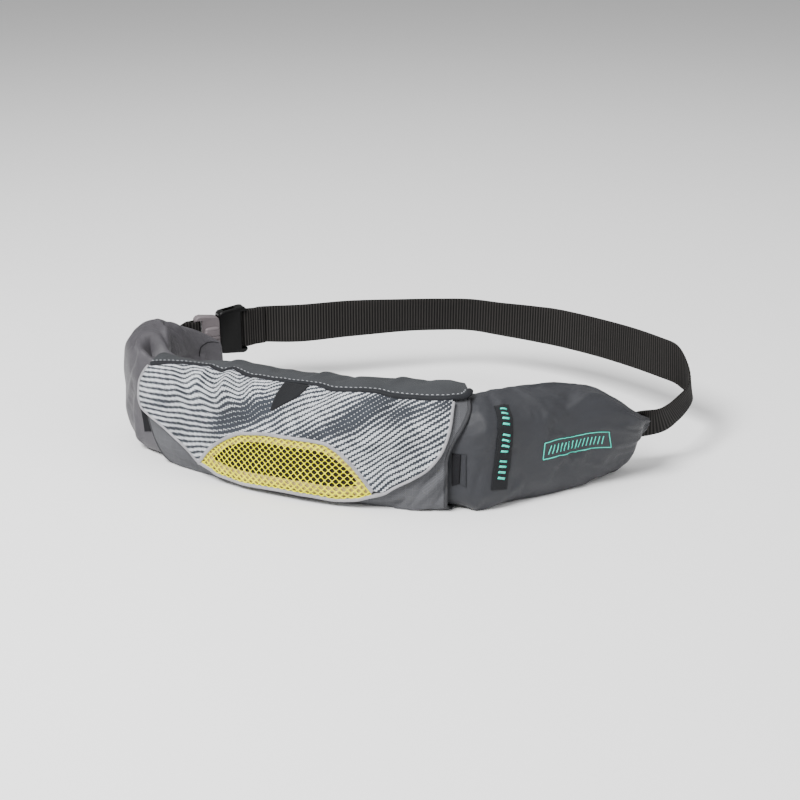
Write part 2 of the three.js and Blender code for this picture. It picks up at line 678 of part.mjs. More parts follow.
// Patches on the wings: the label, and the hook tape at the pouch's mouths
function addPatches() {
  const asLine = (rows) => (share) => linePoint(rows, share);
  const patch = (name, body, left, right, tall, lift, color) => {
    const inner = GAP + lift;
    addPart(name, sheet(body, asLine(left), asLine(right), tall, 2, inner, inner + PATCH_CLOTH), color, 0.9);
  };
  const gapAlong = GAP / SPINE_LENGTH;
  const beside = RIGHT_HOOK_RIGHT.map((row) => ({ at: row.at + gapAlong, around: row.around }));
  patch('label', rightBody, LABEL_LEFT, LABEL_RIGHT, 10, GAP, 0x1c1e22);
  patch('right_hook_tape', rightBody, RIGHT_HOOK_LEFT, RIGHT_HOOK_RIGHT, 4, GAP, 0x17181a);
  patch('right_hook_backing', rightBody, beside, RIGHT_BACKING_RIGHT, 4, GAP, 0x55575c);
  patch('left_hook_tape', leftBody, LEFT_HOOK_LEFT, LEFT_HOOK_RIGHT, 4, 0, 0x17181a);
}

// Buckle place: x runs along the strap, y out of the loop, z up
const buckleFrame = new THREE.Matrix4()
  .makeRotationZ(THREE.MathUtils.degToRad(BUCKLE.turn))
  .setPosition(BUCKLE.across * LOOP_WIDTH, BUCKLE.depth * LOOP_DEPTH, BUCKLE.height * PACK_HEIGHT);
const SLOT_WIDTH = STRAP_WIDTH + 4 * GAP;
const BUCKLE_WIDTH = SLOT_WIDTH + 2 * BUCKLE_RIM;
const BAR_TURN = BUCKLE_BAR / 2 + GAP + STRAP_THICKNESS / 2;
const NOTCH_LENGTH = BUCKLE_BAR + STRAP_THICKNESS + 4 * GAP;
const FEMALE_BAR = FEMALE_LENGTH - BUCKLE_BAR / 2;
const MALE_BAR = -(MALE_LENGTH - BUCKLE_BAR / 2);

function toManifold(geometry) {
  const bare = geometry.clone();
  bare.deleteAttribute('normal');
  bare.deleteAttribute('uv');
  const merged = mergeVertices(bare, 1e-4);
  return new wasm.Manifold(new wasm.Mesh({
    numProp: 3,
    vertProperties: new Float32Array(merged.attributes.position.array),
    triVerts: new Uint32Array(merged.index.array),
  }));
}

function fromManifold(solid) {
  const mesh = solid.getMesh();
  const geometry = new THREE.BufferGeometry();
  geometry.setAttribute('position', new THREE.Float32BufferAttribute(mesh.vertProperties, 3));
  geometry.setIndex(Array.from(mesh.triVerts));
  geometry.computeVertexNormals();
  return geometry;
}

// Plate in the buckle's frame: a rounded outline from x0 to x1, narrower at one end, with soft edges
function plate(x0, x1, width0, width1, thickness, corner, edge = 1) {
  const inset = (value) => value - edge;
  const shape = new THREE.Shape();
  const a = inset(width0 / 2);
  const b = inset(width1 / 2);
  const [left, right] = [x0 + edge, x1 - edge];
  shape.moveTo(left, -a + corner);
  shape.quadraticCurveTo(left, -a, left + corner, -a);
  shape.lineTo(right - corner, -b);
  shape.quadraticCurveTo(right, -b, right, -b + corner);
  shape.lineTo(right, b - corner);
  shape.quadraticCurveTo(right, b, right - corner, b);
  shape.lineTo(left + corner, a);
  shape.quadraticCurveTo(left, a, left, a - corner);
  const geometry = new THREE.ExtrudeGeometry(shape, {
    depth: thickness - 2 * edge,
    bevelThickness: edge,
    bevelSize: edge,
    bevelSegments: 1,
    curveSegments: 3,
  });
  geometry.translate(0, 0, edge - thickness / 2);
  return geometry.rotateX(Math.PI / 2);
}

function block(x0, x1, deep, tall, y = 0, z = 0) {
  const geometry = new THREE.BoxGeometry(x1 - x0, deep, tall);
  return geometry.translate((x0 + x1) / 2, y, z);
}

function bar(x) {
  const geometry = new THREE.CylinderGeometry(BUCKLE_BAR / 2, BUCKLE_BAR / 2, SLOT_WIDTH + BUCKLE_RIM, 8);
  return geometry.rotateX(Math.PI / 2).translate(x, 0, 0);
}

// Socket half: a flat case open towards the prongs, with side windows and a bar for the strap
function addFemale() {
  const wall = BUCKLE_THICKNESS / 6;
  const pocketEnd = FEMALE_LENGTH - NOTCH_LENGTH - BUCKLE_RIM;
  const notchFrom = FEMALE_LENGTH - NOTCH_LENGTH;
  const narrow = BUCKLE_WIDTH - BUCKLE_RIM;
  let solid = toManifold(plate(0, FEMALE_LENGTH, narrow, BUCKLE_WIDTH, BUCKLE_THICKNESS, BUCKLE_RIM));
  const pocketTall = narrow - 2 * BUCKLE_RIM;
  const pocketDeep = BUCKLE_THICKNESS - 2 * wall;
  solid = solid.subtract(toManifold(block(-1, pocketEnd, pocketDeep, pocketTall)));
  solid = solid.subtract(toManifold(block(pocketEnd / 3, pocketEnd, pocketDeep * 0.7, BUCKLE_WIDTH * 1.2)));
  solid = solid.subtract(toManifold(block(notchFrom, FEMALE_LENGTH + 1, BUCKLE_THICKNESS * 1.2, SLOT_WIDTH)));
  solid = solid.add(toManifold(bar(FEMALE_BAR)));
  addPart('buckle_female', fromManifold(solid).applyMatrix4(buckleFrame), 0x1e1f20, 0.4);
}

// Prong half: a rounded frame with a bar for the stub, two ridges and prongs in the socket
function addMale() {
  const wall = BUCKLE_THICKNESS / 6;
  const thickness = BUCKLE_THICKNESS * 0.75;
  const notchTo = -(MALE_LENGTH - NOTCH_LENGTH);
  const pocketEnd = FEMALE_LENGTH - NOTCH_LENGTH - BUCKLE_RIM;
  const narrow = BUCKLE_WIDTH - BUCKLE_RIM;
  const pocketTall = narrow - 2 * BUCKLE_RIM;
  const prongDeep = BUCKLE_THICKNESS - 2 * wall - 2 * POCKET_GAP;
  let solid = toManifold(plate(-MALE_LENGTH, -GAP, BUCKLE_WIDTH, narrow, thickness, BUCKLE_RIM * 1.2));
  solid = solid.subtract(toManifold(block(-MALE_LENGTH - 1, notchTo, BUCKLE_THICKNESS, SLOT_WIDTH)));
  solid = solid.add(toManifold(bar(MALE_BAR)));
  const prongTall = pocketTall / 5;
  const prongZ = pocketTall / 2 - POCKET_GAP - prongTall / 2;
  for (const z of [-prongZ, 0, prongZ]) {
    solid = solid.add(toManifold(block(-2, pocketEnd - POCKET_GAP, prongDeep * 0.8, prongTall, 0, z)));
  }
  const ridgeDeep = BUCKLE_THICKNESS / 4;
  for (const z of [-prongTall * 0.8, prongTall * 0.8]) {
    const ridge = plate(notchTo + 1.5, -2, prongTall, prongTall, 2 * ridgeDeep, 1.2);
    solid = solid.add(toManifold(ridge.translate(0, -thickness / 2, z)));
  }
  addPart('buckle_male', fromManifold(solid).applyMatrix4(buckleFrame), 0x8f8a8c, 0.45);
}

// Centres of webbing that loops round a bar: a short tail, the turn, and the way to the main run
function barLoop(barX, away, tail) {
  const close = (STRAP_THICKNESS + GAP) / 2;
  const profile = [
    { out: tail, side: -close },
    { out: tail * 0.55, side: -close },
    { out: BAR_TURN * 2, side: -BAR_TURN * 0.72 },
    { out: BAR_TURN * 0.6, side: -BAR_TURN },
    { out: -BAR_TURN * 0.7, side: -BAR_TURN * 0.75 },
    { out: -BAR_TURN, side: 0 },
    { out: -BAR_TURN * 0.7, side: BAR_TURN * 0.75 },
    { out: BAR_TURN * 0.6, side: BAR_TURN },
    { out: BAR_TURN * 2, side: BAR_TURN * 0.72 },
    { out: tail * 0.55, side: close },
    { out: tail, side: close },
  ];
  return profile.map((row) => new THREE.Vector3(barX + away * row.out, row.side, 0).applyMatrix4(buckleFrame));
}

// Strap from the buckle round the back to the inner face of the right wing's tip
function addStrap() {
  const upright = new THREE.Vector3(0, 0, 1);
  const loop = barLoop(FEMALE_BAR, 1, STRAP_TAIL);
  const centres = [...loop];
  const ways = loop.map(() => upright.clone());
  for (const row of STRAP_ROUTE) {
    centres.push(new THREE.Vector3(row.across * LOOP_WIDTH, row.depth * LOOP_DEPTH, row.height * PACK_HEIGHT));
    ways.push(new THREE.Vector3(row.leanX, row.leanY, 1).normalize());
  }
  const seat = 3 * GAP + STRAP_THICKNESS / 2;
  for (const at of STRAP_SEAT) {
    const tangent = spine.getTangentAt(at);
    const lean = column(LEAN, 'lean', at);
    centres.push(skin(rightBody, at, 180, seat * Math.hypot(1, lean)));
    ways.push(new THREE.Vector3(tangent.y * lean, -tangent.x * lean, 1).normalize());
  }
  addPart('strap', webbing(centres, ways, STRAP_WIDTH, STRAP_THICKNESS, 2), 0x2b2a29, 0.75);
}

// Stub from the outer face of the left wing to the prong half's bar
function addStub() {
  const loop = barLoop(MALE_BAR, -1, STRAP_TAIL / 2);
  const seat = 5 * GAP + STRAP_THICKNESS / 2;
  const centres = [...loop];
  const height = BUCKLE.height * PACK_HEIGHT;
  for (const [i, at] of [...STUB_SEAT].reverse().entries()) {
    const point = skin(leftBody, at, 0, seat);
    point.z = mix(height, STUB_HEIGHT * PACK_HEIGHT, (i + 1) / STUB_SEAT.length);
    centres.push(point);
  }
  const ways = centres.map(() => new THREE.Vector3(0, 0, 1));
  addPart('strap_stub', webbing(centres, ways, STRAP_WIDTH, STRAP_THICKNESS, 2), 0x232323, 0.75);
}

addPouch();
addWings();
addFlap();
addPatches();
addFemale();
addMale();
addStrap();
addStub();

// The origin is under the middle of the whole pack, on the surface it lies on
const extent = new THREE.Box3().setFromObject(group);
const middle = extent.getCenter(new THREE.Vector3());
group.position.set(-middle.x, -middle.y, -extent.min.z);
group.updateMatrixWorld(true);

export default group;
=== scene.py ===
"""Inflatable belt pack: its cloth, webbing, buckle and stage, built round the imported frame."""
import json
import math

import bmesh
import bpy
import numpy as np
from bpy.props import FloatProperty, FloatVectorProperty, PointerProperty
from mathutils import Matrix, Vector

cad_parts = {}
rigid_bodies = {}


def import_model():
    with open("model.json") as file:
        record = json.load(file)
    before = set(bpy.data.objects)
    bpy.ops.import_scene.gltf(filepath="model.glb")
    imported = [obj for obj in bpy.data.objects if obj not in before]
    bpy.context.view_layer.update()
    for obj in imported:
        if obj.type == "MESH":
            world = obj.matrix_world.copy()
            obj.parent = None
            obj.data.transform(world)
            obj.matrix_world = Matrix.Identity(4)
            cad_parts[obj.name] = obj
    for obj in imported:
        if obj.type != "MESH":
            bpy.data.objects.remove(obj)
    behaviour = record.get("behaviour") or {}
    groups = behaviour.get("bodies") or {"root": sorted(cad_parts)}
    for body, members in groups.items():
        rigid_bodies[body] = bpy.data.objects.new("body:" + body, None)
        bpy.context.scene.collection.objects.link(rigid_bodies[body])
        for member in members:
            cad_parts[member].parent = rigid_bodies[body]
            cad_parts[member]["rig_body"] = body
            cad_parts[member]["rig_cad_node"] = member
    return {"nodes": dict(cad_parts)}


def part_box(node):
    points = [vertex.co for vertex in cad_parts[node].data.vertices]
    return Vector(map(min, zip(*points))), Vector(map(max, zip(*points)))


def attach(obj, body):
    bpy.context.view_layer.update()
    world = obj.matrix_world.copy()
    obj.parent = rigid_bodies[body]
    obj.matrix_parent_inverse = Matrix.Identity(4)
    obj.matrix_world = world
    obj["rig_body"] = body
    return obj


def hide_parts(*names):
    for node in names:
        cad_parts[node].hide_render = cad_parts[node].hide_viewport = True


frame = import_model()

bl_info = {
    "name": "Inflatable belt pack",
    "version": (1, 0, 0),
    "blender": (4, 5, 0),
    "location": "3D View > Sidebar > Belt Pack",
    "description": "Builds the cloth, webbing, buckle and stage of an inflatable belt pack",
    "category": "Add Mesh",
}

MM = 0.001

# Sizes shared with the solids, in millimetres
LOOP_WIDTH = 525
LOOP_DEPTH = 300
PACK_HEIGHT = 101
PACK_THICKNESS = 60
WING_HEIGHT = 94
WING_THICKNESS = 48
POUCH_WALL = 2
FLAP_CLOTH = 1.4
LINING_CLOTH = 1
STRAP_WIDTH = 38
STRAP_THICKNESS = 1.8
PIPING_WIDTH = 2.8
FLAT_PIPING_WIDTH = 3.6
BINDING_WIDTH = 5
POUCH_HEM_WIDTH = 4
FEMALE_LENGTH = 30
MALE_LENGTH = 26
BUCKLE_BAR = 4
STRAP_TAIL = 22
GAP = 0.35
FLAP_IN = 1.72
FLAP_OUT = FLAP_IN + FLAP_CLOTH
FLAP_MIDDLE = (FLAP_IN + FLAP_OUT) / 2
UPPER_POWER = 2.7
LOWER_POWER = 4.6
BOTTOM_FLATTENING = 0.03
POUCH_FROM = 0.264
POUCH_TO = 0.693

# Plan of the pack's middle line, as shares of the loop's width and depth
SPINE = [
    (-0.328, 0.622), (-0.369, 0.602), (-0.408, 0.552), (-0.436, 0.470), (-0.442, 0.367),
    (-0.421, 0.273), (-0.377, 0.193), (-0.305, 0.120), (-0.229, 0.047), (-0.152, -0.013),
    (-0.086, -0.050), (-0.019, -0.070), (0.065, -0.087), (0.126, -0.077), (0.181, -0.043),
    (0.232, -0.013), (0.286, 0.017), (0.352, 0.050), (0.413, 0.087),
]

# How far each section leans out at its top: share of the spine, lean
LEAN = np.array([
    (0.00, 0.00), (0.25, 0.00), (0.36, -0.08), (0.45, -0.12), (0.72, -0.12), (0.80, -0.05),
    (0.89, 0.03), (0.92, 0.12), (0.95, 0.30), (0.98, 0.50), (1.00, 0.60),
])

# Sections: share of the spine, then front, back, low and high as shares of the body's sizes
POUCH = np.array([
    (0.235, 0.40, 0.43, 0.000, 0.95), (0.280, 0.42, 0.43, 0.000, 0.96),
    (0.360, 0.46, 0.43, 0.000, 0.95), (0.450, 0.48, 0.43, 0.000, 0.95),
    (0.600, 0.51, 0.43, 0.000, 0.97), (0.700, 0.55, 0.43, 0.000, 0.97),
    (0.720, 0.55, 0.43, 0.000, 0.95), (0.740, 0.54, 0.42, 0.000, 0.91),
])
LEFT_WING = np.array([
    (0.006, 0.08, 0.12, 0.230, 0.68), (0.030, 0.15, 0.20, 0.190, 0.78),
    (0.080, 0.28, 0.34, 0.106, 0.97), (0.140, 0.41, 0.45, 0.043, 1.09),
    (0.180, 0.46, 0.50, 0.020, 1.08), (0.225, 0.48, 0.50, 0.015, 1.02),
    (0.258, 0.43, 0.43, 0.033, 0.96), (0.320, 0.43, 0.42, 0.033, 0.94),
    (0.440, 0.45, 0.42, 0.033, 0.94), (0.475, 0.36, 0.34, 0.033, 0.84),
])
RIGHT_WING = np.array([
    (0.487, 0.36, 0.34, 0.033, 0.84), (0.520, 0.45, 0.42, 0.033, 0.94),
    (0.685, 0.54, 0.42, 0.033, 0.95), (0.701, 0.58, 0.43, 0.033, 0.95),
    (0.742, 0.75, 0.48, 0.003, 0.96), (0.780, 0.65, 0.50, 0.003, 0.97),
    (0.840, 0.58, 0.50, 0.003, 0.96), (0.890, 0.53, 0.46, 0.005, 0.94),
    (0.920, 0.48, 0.40, 0.012, 0.89), (0.945, 0.41, 0.30, 0.030, 0.79),
    (0.970, 0.31, 0.20, 0.080, 0.67), (0.980, 0.24, 0.15, 0.160, 0.62),
    (0.988, 0.14, 0.12, 0.320, 0.59), (1.000, 0.08, 0.08, 0.400, 0.54),
])

# Folds and dents of the solids: share of the spine, degrees round, length, spread, depth
FOLDS = [
    (0.345, 50, 0.012, 22, 0.022), (0.372, 48, 0.010, 20, -0.024), (0.398, 50, 0.010, 24, 0.024),
    (0.425, 46, 0.011, 22, -0.026), (0.452, 50, 0.012, 22, 0.020), (0.440, 22, 0.022, 14, -0.035),
    (0.535, 40, 0.016, 20, -0.022), (0.610, 40, 0.018, 18, -0.036), (0.650, 24, 0.016, 14, 0.025),
    (0.668, 44, 0.014, 16, -0.030), (0.640, -32, 0.020, 10, -0.020),
    (0.205, 150, 0.016, 26, -0.120), (0.165, 140, 0.012, 30, 0.050),
    (0.120, 150, 0.012, 26, -0.040), (0.085, 130, 0.010, 30, 0.035), (0.190, 60, 0.014, 30, -0.030),
    (0.725, -50, 0.010, 24, 0.040), (0.868, 70, 0.016, 26, -0.040), (0.905, -30, 0.020, 20, -0.030),
]

# Lines on the cloth: share of the spine, degrees round the section
BINDING_LINE = [
    (0.2620, 50), (0.2970, 61), (0.3320, 67), (0.3650, 66), (0.3900, 70), (0.4180, 65),
    (0.4800, 66), (0.5180, 67), (0.5480, 61), (0.6000, 62), (0.6300, 57), (0.6900, 57),
    (0.7130, 60), (0.7240, 68), (0.7290, 80),
]
FLAP_BACK_AROUND = 150
FLAP_LEFT = [
    (0.2595, 47), (0.2520, 35), (0.2480, 25), (0.2475, 13), (0.2520, 4), (0.2645, -1),
    (0.2800, -5), (0.2995, -12), (0.3295, -23), (0.3515, -31),
]
NET_LOW = [
    (0.3700, -34), (0.3860, -38), (0.4210, -40), (0.4740, -39), (0.5200, -39), (0.5550, -40),
    (0.5800, -38), (0.6000, -34),
]
FLAP_RIGHT = [
    (0.6180, -31), (0.6330, -26), (0.6565, -17), (0.6725, -9), (0.6855, 4), (0.6925, 16),
    (0.6980, 31), (0.7010, 46), (0.7025, 53),
]
NET_HIGH = [
    (0.3505, -33), (0.3575, -28), (0.3700, -19), (0.3860, -10), (0.4060, -1), (0.4255, 5), (0.4765, 9),
    (0.5180, 9), (0.5400, 8), (0.5560, 3), (0.5700, -5), (0.5830, -15), (0.5965, -26), (0.6030, -31),
]
TAB_LEFT = [(0.4745, 63), (0.4655, 31)]
TAB_RIGHT = [(0.5115, 63), (0.5040, 50), (0.4680, 31)]
LABEL_LEFT = [(0.7430, -28), (0.7535, 60)]
LABEL_RIGHT = [(0.7595, -31), (0.7725, 57)]
RIGHT_HOOK_LEFT = [(0.7015, -27), (0.7015, 7)]
RIGHT_HOOK_RIGHT = [(0.7100, -24), (0.7115, 7)]
RIGHT_BACKING_RIGHT = [(0.7170, -26), (0.7170, 7)]
LEFT_HOOK_LEFT = [(0.2440, -27), (0.2420, 10)]
LEFT_HOOK_RIGHT = [(0.2550, -25), (0.2550, 10)]
FRAME_MARK = [(0.8173, -9), (0.9300, -5), (0.9258, 14), (0.8197, 9)]
BACK_STITCHES = [(0.266, 146), (0.716, 146)]
WING_SEAM = [(0.009, 118), (0.020, 128), (0.034, 141), (0.044, 152), (0.048, 166)]

BUCKLE = {"across": -0.346, "depth": 0.718, "height": 0.630, "turn": 28}

# Strap route: across, depth and height as shares, then how its upper edge leans
STRAP_ROUTE = [
    (-0.190, 0.795, 0.645, 0.00, 0.16), (-0.097, 0.828, 0.660, 0.00, 0.03),
    (0.000, 0.857, 0.663, 0.00, -0.20), (0.078, 0.880, 0.653, 0.00, -0.25),
    (0.137, 0.883, 0.644, 0.00, -0.25), (0.194, 0.863, 0.620, 0.00, -0.18),
    (0.257, 0.815, 0.618, 0.00, -0.02), (0.305, 0.765, 0.623, 0.02, 0.12),
    (0.375, 0.660, 0.630, 0.00, 0.20), (0.430, 0.543, 0.650, 0.03, 0.30),
    (0.469, 0.453, 0.655, 0.00, 0.36), (0.491, 0.400, 0.650, -0.04, 0.20),
    (0.503, 0.360, 0.600, -0.10, -0.26), (0.510, 0.323, 0.535, -0.24, -0.75),
    (0.505, 0.280, 0.495, -0.46, -1.08), (0.486, 0.217, 0.475, -0.66, -1.10),
    (0.463, 0.157, 0.455, -0.60, -0.94), (0.438, 0.123, 0.425, -0.32, -0.68),
]
STRAP_SEAT = [0.985, 0.965, 0.945, 0.930]
STUB_SEAT = [0.105, 0.090, 0.075]

# Where the prong half and its stub are drawn, beside the place of their solids
PRONG_SHIFT = np.array([1.8, -1.0, -3.2])
STUB_HEIGHT = 0.41

# Rounded ridges on the prong half: heights, reach along the buckle, then middle and half sizes
RIDGE_HEIGHTS = (9.0, 0.5, -8.0)
RIDGE_FROM, RIDGE_TO = -17, -1.5
RIDGE_MIDDLE, RIDGE_HALF = -9.25, 7.9
RIDGE_SEAT, RIDGE_DEPTH, RIDGE_WIDTH = -5.4, 2.3, 2.9

# Cloth that isn't in the solids' sizes, in millimetres
HEM_SHARE = 0.65
STITCH = {"length": 2.3, "space": 1.7, "thickness": 0.75}
STITCH_SEAT = FLAP_OUT + 0.15
STITCH_GAP = 1.3
NET_THICKNESS = 0.8
NET_BORDER_LOW, NET_BORDER_HIGH, NET_BORDER_END = 6.5, 6.0, 10
RIM_LOW, RIM_HIGH, RIM_END = 8.0, 7.0, 12

# Creases in the cloth: millimetres along the spine, degrees round, direction in degrees,
# then length, width and height in millimetres
POUCH_CREASES = [
    (214, 52, 78, 15, 5.0, 1.5), (226, 50, 84, 16, 4.5, -1.3), (238, 50, 90, 18, 5.0, 1.8),
    (250, 46, 96, 16, 4.5, -1.5), (262, 46, 84, 15, 5.0, 1.4), (276, 48, 80, 12, 5.0, -1.2),
    (246, 22, 20, 14, 7.0, -1.6), (262, 8, 10, 18, 6.0, 1.3), (236, 2, -14, 16, 6.0, 0.9),
    (322, 44, 60, 14, 6.0, -1.1), (346, 30, 34, 20, 7.0, -1.8), (364, 36, 30, 15, 6.0, 1.6),
    (384, 44, 52, 14, 6.0, -1.8), (372, 14, 38, 22, 5.0, 0.9), (398, 4, 42, 20, 5.0, -0.9),
    (404, -36, 44, 18, 3.0, 1.5), (418, -24, 50, 18, 2.6, 1.8), (411, -26, 56, 18, 2.6, -1.7),
    (424, -30, 62, 16, 2.4, -1.5), (396, -42, 34, 16, 3.4, -1.2),
    (398, -52, 20, 18, 4.0, 1.2), (384, -46, 8, 22, 4.0, -1.1), (412, -62, 30, 14, 4.0, -1.3),
    (196, 92, 80, 14, 6.0, -1.4), (232, 98, 70, 15, 6.0, 1.5), (274, 96, 98, 16, 7.0, -1.3),
    (318, 98, 60, 16, 5.0, 1.6), (340, 100, 70, 18, 6.0, -1.5), (386, 96, 64, 15, 5.0, 1.6),
    (408, 100, 80, 14, 6.0, -1.4), (184, -30, -20, 18, 5.0, 1.0), (206, -44, -12, 20, 5.0, -1.0),
    (200, 168, 90, 22, 7.0, 1.4), (250, 176, 82, 24, 8.0, -1.5), (310, 172, 96, 22, 8.0, 1.3),
    (366, 178, 88, 24, 8.0, -1.3), (412, 170, 92, 20, 7.0, 1.3),
]
LEFT_CREASES = [
    (140, 64, 80, 14, 5.0, 2.6), (92, 120, 50, 28, 4.5, 3.0), (84, 128, 46, 26, 4.0, -3.0),
    (54, 118, 127, 28, 4.0, 2.2), (62, 126, 124, 26, 3.5, -2.2), (74, 134, 118, 24, 4.0, 2.0),
    (112, 132, 30, 28, 5.0, 2.6), (104, 144, 24, 30, 5.5, -2.6), (152, 60, 84, 20, 6.0, 1.8),
    (132, 34, 74, 26, 6.0, -1.6), (146, 20, 96, 26, 6.0, 1.7), (120, 14, 70, 34, 9.0, -1.4),
    (140, -14, 86, 26, 6.0, 1.3), (96, 30, 50, 30, 8.0, 1.2), (84, -14, 30, 28, 7.0, -1.2),
    (56, 20, 20, 24, 6.0, 1.5), (40, 60, 14, 20, 5.0, -1.5), (34, 0, 8, 18, 4.5, 1.3),
    (28, -40, 20, 16, 4.5, -1.2), (124, -52, 20, 24, 6.0, -1.2), (60, 168, 10, 26, 5.0, -1.6),
    (84, 178, 80, 24, 6.0, 1.6), (112, 180, 96, 24, 6.0, -1.8), (138, 168, 100, 22, 6.0, 1.8),
]
RIGHT_CREASES = [
    (446, -60, 40, 20, 5.0, 2.2), (456, -74, 20, 22, 5.0, -1.6), (444, -34, 76, 22, 4.5, -1.6),
    (452, 40, 100, 26, 7.0, 1.2), (462, 66, 86, 20, 6.0, -1.5), (498, 66, 110, 18, 5.0, 0.9),
    (520, 58, 120, 22, 6.0, -1.3), (536, 74, 70, 20, 6.0, -1.8), (548, 60, 40, 24, 5.0, 1.6),
    (560, 44, 24, 24, 5.0, -1.3), (572, 20, 8, 24, 4.5, 1.1), (580, -8, -6, 22, 4.5, -1.3),
    (570, -32, -22, 24, 5.0, 1.5), (556, -48, -34, 22, 5.5, -1.4), (540, -40, -60, 22, 6.0, 1.0),
    (596, 30, 20, 14, 3.5, -1.2), (600, 4, 0, 14, 3.5, 1.2), (598, -26, -20, 14, 3.5, -1.1),
    (500, -56, 4, 34, 6.0, 0.8), (484, 100, 6, 30, 7.0, -1.3), (520, 104, 14, 30, 6.0, 1.2),
    (480, 176, 88, 26, 8.0, 1.4), (514, 172, 80, 26, 8.0, -1.4), (552, 178, 70, 22, 7.0, 1.4),
]


# Relief of each body: strength of its drawn creases, then seed and size of its soft dents
POUCH_RELIEF = (1.7, 11, 0.9)
LEFT_RELIEF = (1.2, 31, 1.1)
RIGHT_RELIEF = (1.1, 57, 0.6)

# Top of the pack sunk in behind the flap's left end: place, reach and depth in millimetres
SLUMP = {"at": 0.285, "around": 116, "along": 0.055, "spread": 30, "depth": 9.0}

# Hollow where the left wing turns back, in millimetres apart from the degrees round
HOLLOW = {"along": 141, "around": 98, "length": 24, "width": 30, "depth": 15.0, "rim": 2.6}

# How far the pouch's mouths slant, as shares of the spine
LEFT_MOUTH_SEAT = 0.004
LEFT_MOUTH_SLANT = 0.034
RIGHT_MOUTH_UPPER = 0.029
RIGHT_MOUTH_LOWER = 0.013

# Print: strength of the ink, slope of the stripes on the left, and their steeper slope on the right
INK = 0.58
STRIPE_SLOPE = 0.10
STEEPER_SLOPE = 0.56
STEEPER_FROM = 252
STEEPER_EASE = 12

# Steps of the meshes along the spine and round the section
POUCH_STEPS = (190, 144)
WING_STEPS = (130, 96)
HOOD_STEPS = (260, 70)
FRONT_STEPS = (280, 90)
LINING_STEPS = (200, 60)


def blend(a, b, share):
    """Straight blend between two numbers or arrays."""
    return a + (b - a) * share


def smooth(low, high, value):
    """0 below low, 1 above high, with a soft rise between."""
    t = np.clip((value - low) / (high - low), 0, 1)
    return t * t * (3 - 2 * t)


def catmull(points, count, centripetal):
    """Points along a Catmull-Rom curve, its ends carried on in a straight line."""
    P = np.asarray(points, float)
    last = len(P) - 1
    Q = np.vstack([2 * P[0] - P[1], P, 2 * P[last] - P[last - 1]])
    place = np.linspace(0, last, count)
    k = np.minimum(place.astype(int), last - 1)
    w = (place - k)[:, None]
    p0, p1, p2, p3 = Q[k], Q[k + 1], Q[k + 2], Q[k + 3]
    if centripetal:
        d0, d1, d2 = (
            np.sqrt(np.linalg.norm(b - a, axis=1))[:, None]
            for a, b in ((p0, p1), (p1, p2), (p2, p3))
        )
        m1 = ((p1 - p0) / d0 - (p2 - p0) / (d0 + d1) + (p2 - p1) / d1) * d1
        m2 = ((p2 - p1) / d1 - (p3 - p1) / (d1 + d2) + (p3 - p2) / d2) * d1
    else:
        m1, m2 = (p2 - p0) / 2, (p3 - p1) / 2
    w2, w3 = w * w, w * w * w
    return (
        (2 * w3 - 3 * w2 + 1) * p1 + (w3 - 2 * w2 + w) * m1
        + (3 * w2 - 2 * w3) * p2 + (w3 - w2) * m2
    )


def column(rows, index, at, key=0):
    """Smooth value of a table's column at a place along it, with no overshoot."""
    rows = np.asarray(rows, float)
    x, y = rows[:, key], rows[:, index]
    h = np.diff(x)
    slope = np.diff(y) / h
    tangent = np.zeros(len(x))
    tangent[0], tangent[-1] = slope[0], slope[-1]
    product = slope[:-1] * slope[1:]
    total = slope[:-1] + slope[1:]
    safe = np.where(total == 0, 1, total)
    tangent[1:-1] = np.where(product <= 0, 0, 2 * product / safe)
    q = np.clip(np.asarray(at, float), x[0], x[-1])
    k = np.clip(np.searchsorted(x, q, side="right") - 1, 0, len(x) - 2)
    t = (q - x[k]) / h[k]
    t2, t3 = t * t, t * t * t
    return (
        (2 * t3 - 3 * t2 + 1) * y[k] + (t3 - 2 * t2 + t) * h[k] * tangent[k]
        + (3 * t2 - 2 * t3) * y[k + 1] + (t3 - t2) * h[k] * tangent[k + 1]
    )


class Route:
    """A curve measured by its length."""

    def __init__(self, points):
        self.points = points
        steps = np.linalg.norm(np.diff(points, axis=0), axis=1)
        self.way = np.concatenate([[0], np.cumsum(steps)])
        self.length = self.way[-1]

    def at(self, share):
        s = np.clip(np.asarray(share, float), 0, 1) * self.length
        columns = [np.interp(s, self.way, self.points[:, k]) for k in range(self.points.shape[1])]
        return np.stack(columns, -1)

    def along(self, share, step=0.003):
        share = np.asarray(share, float)
        d = self.at(np.clip(share + step, 0, 1)) - self.at(np.clip(share - step, 0, 1))
        return d / np.linalg.norm(d, axis=-1, keepdims=True)


SPINE_ROUTE = Route(catmull(np.array(SPINE) * (LOOP_WIDTH, LOOP_DEPTH), 3000, True))
SPINE_LENGTH = SPINE_ROUTE.length
GIRTH_STEP = math.radians(PACK_HEIGHT / 2)


def wrap(around):
    """The same angle between -90 and 270 degrees, so that the seam lies at the bottom."""
    return (np.asarray(around, float) + 90) % 360 - 90


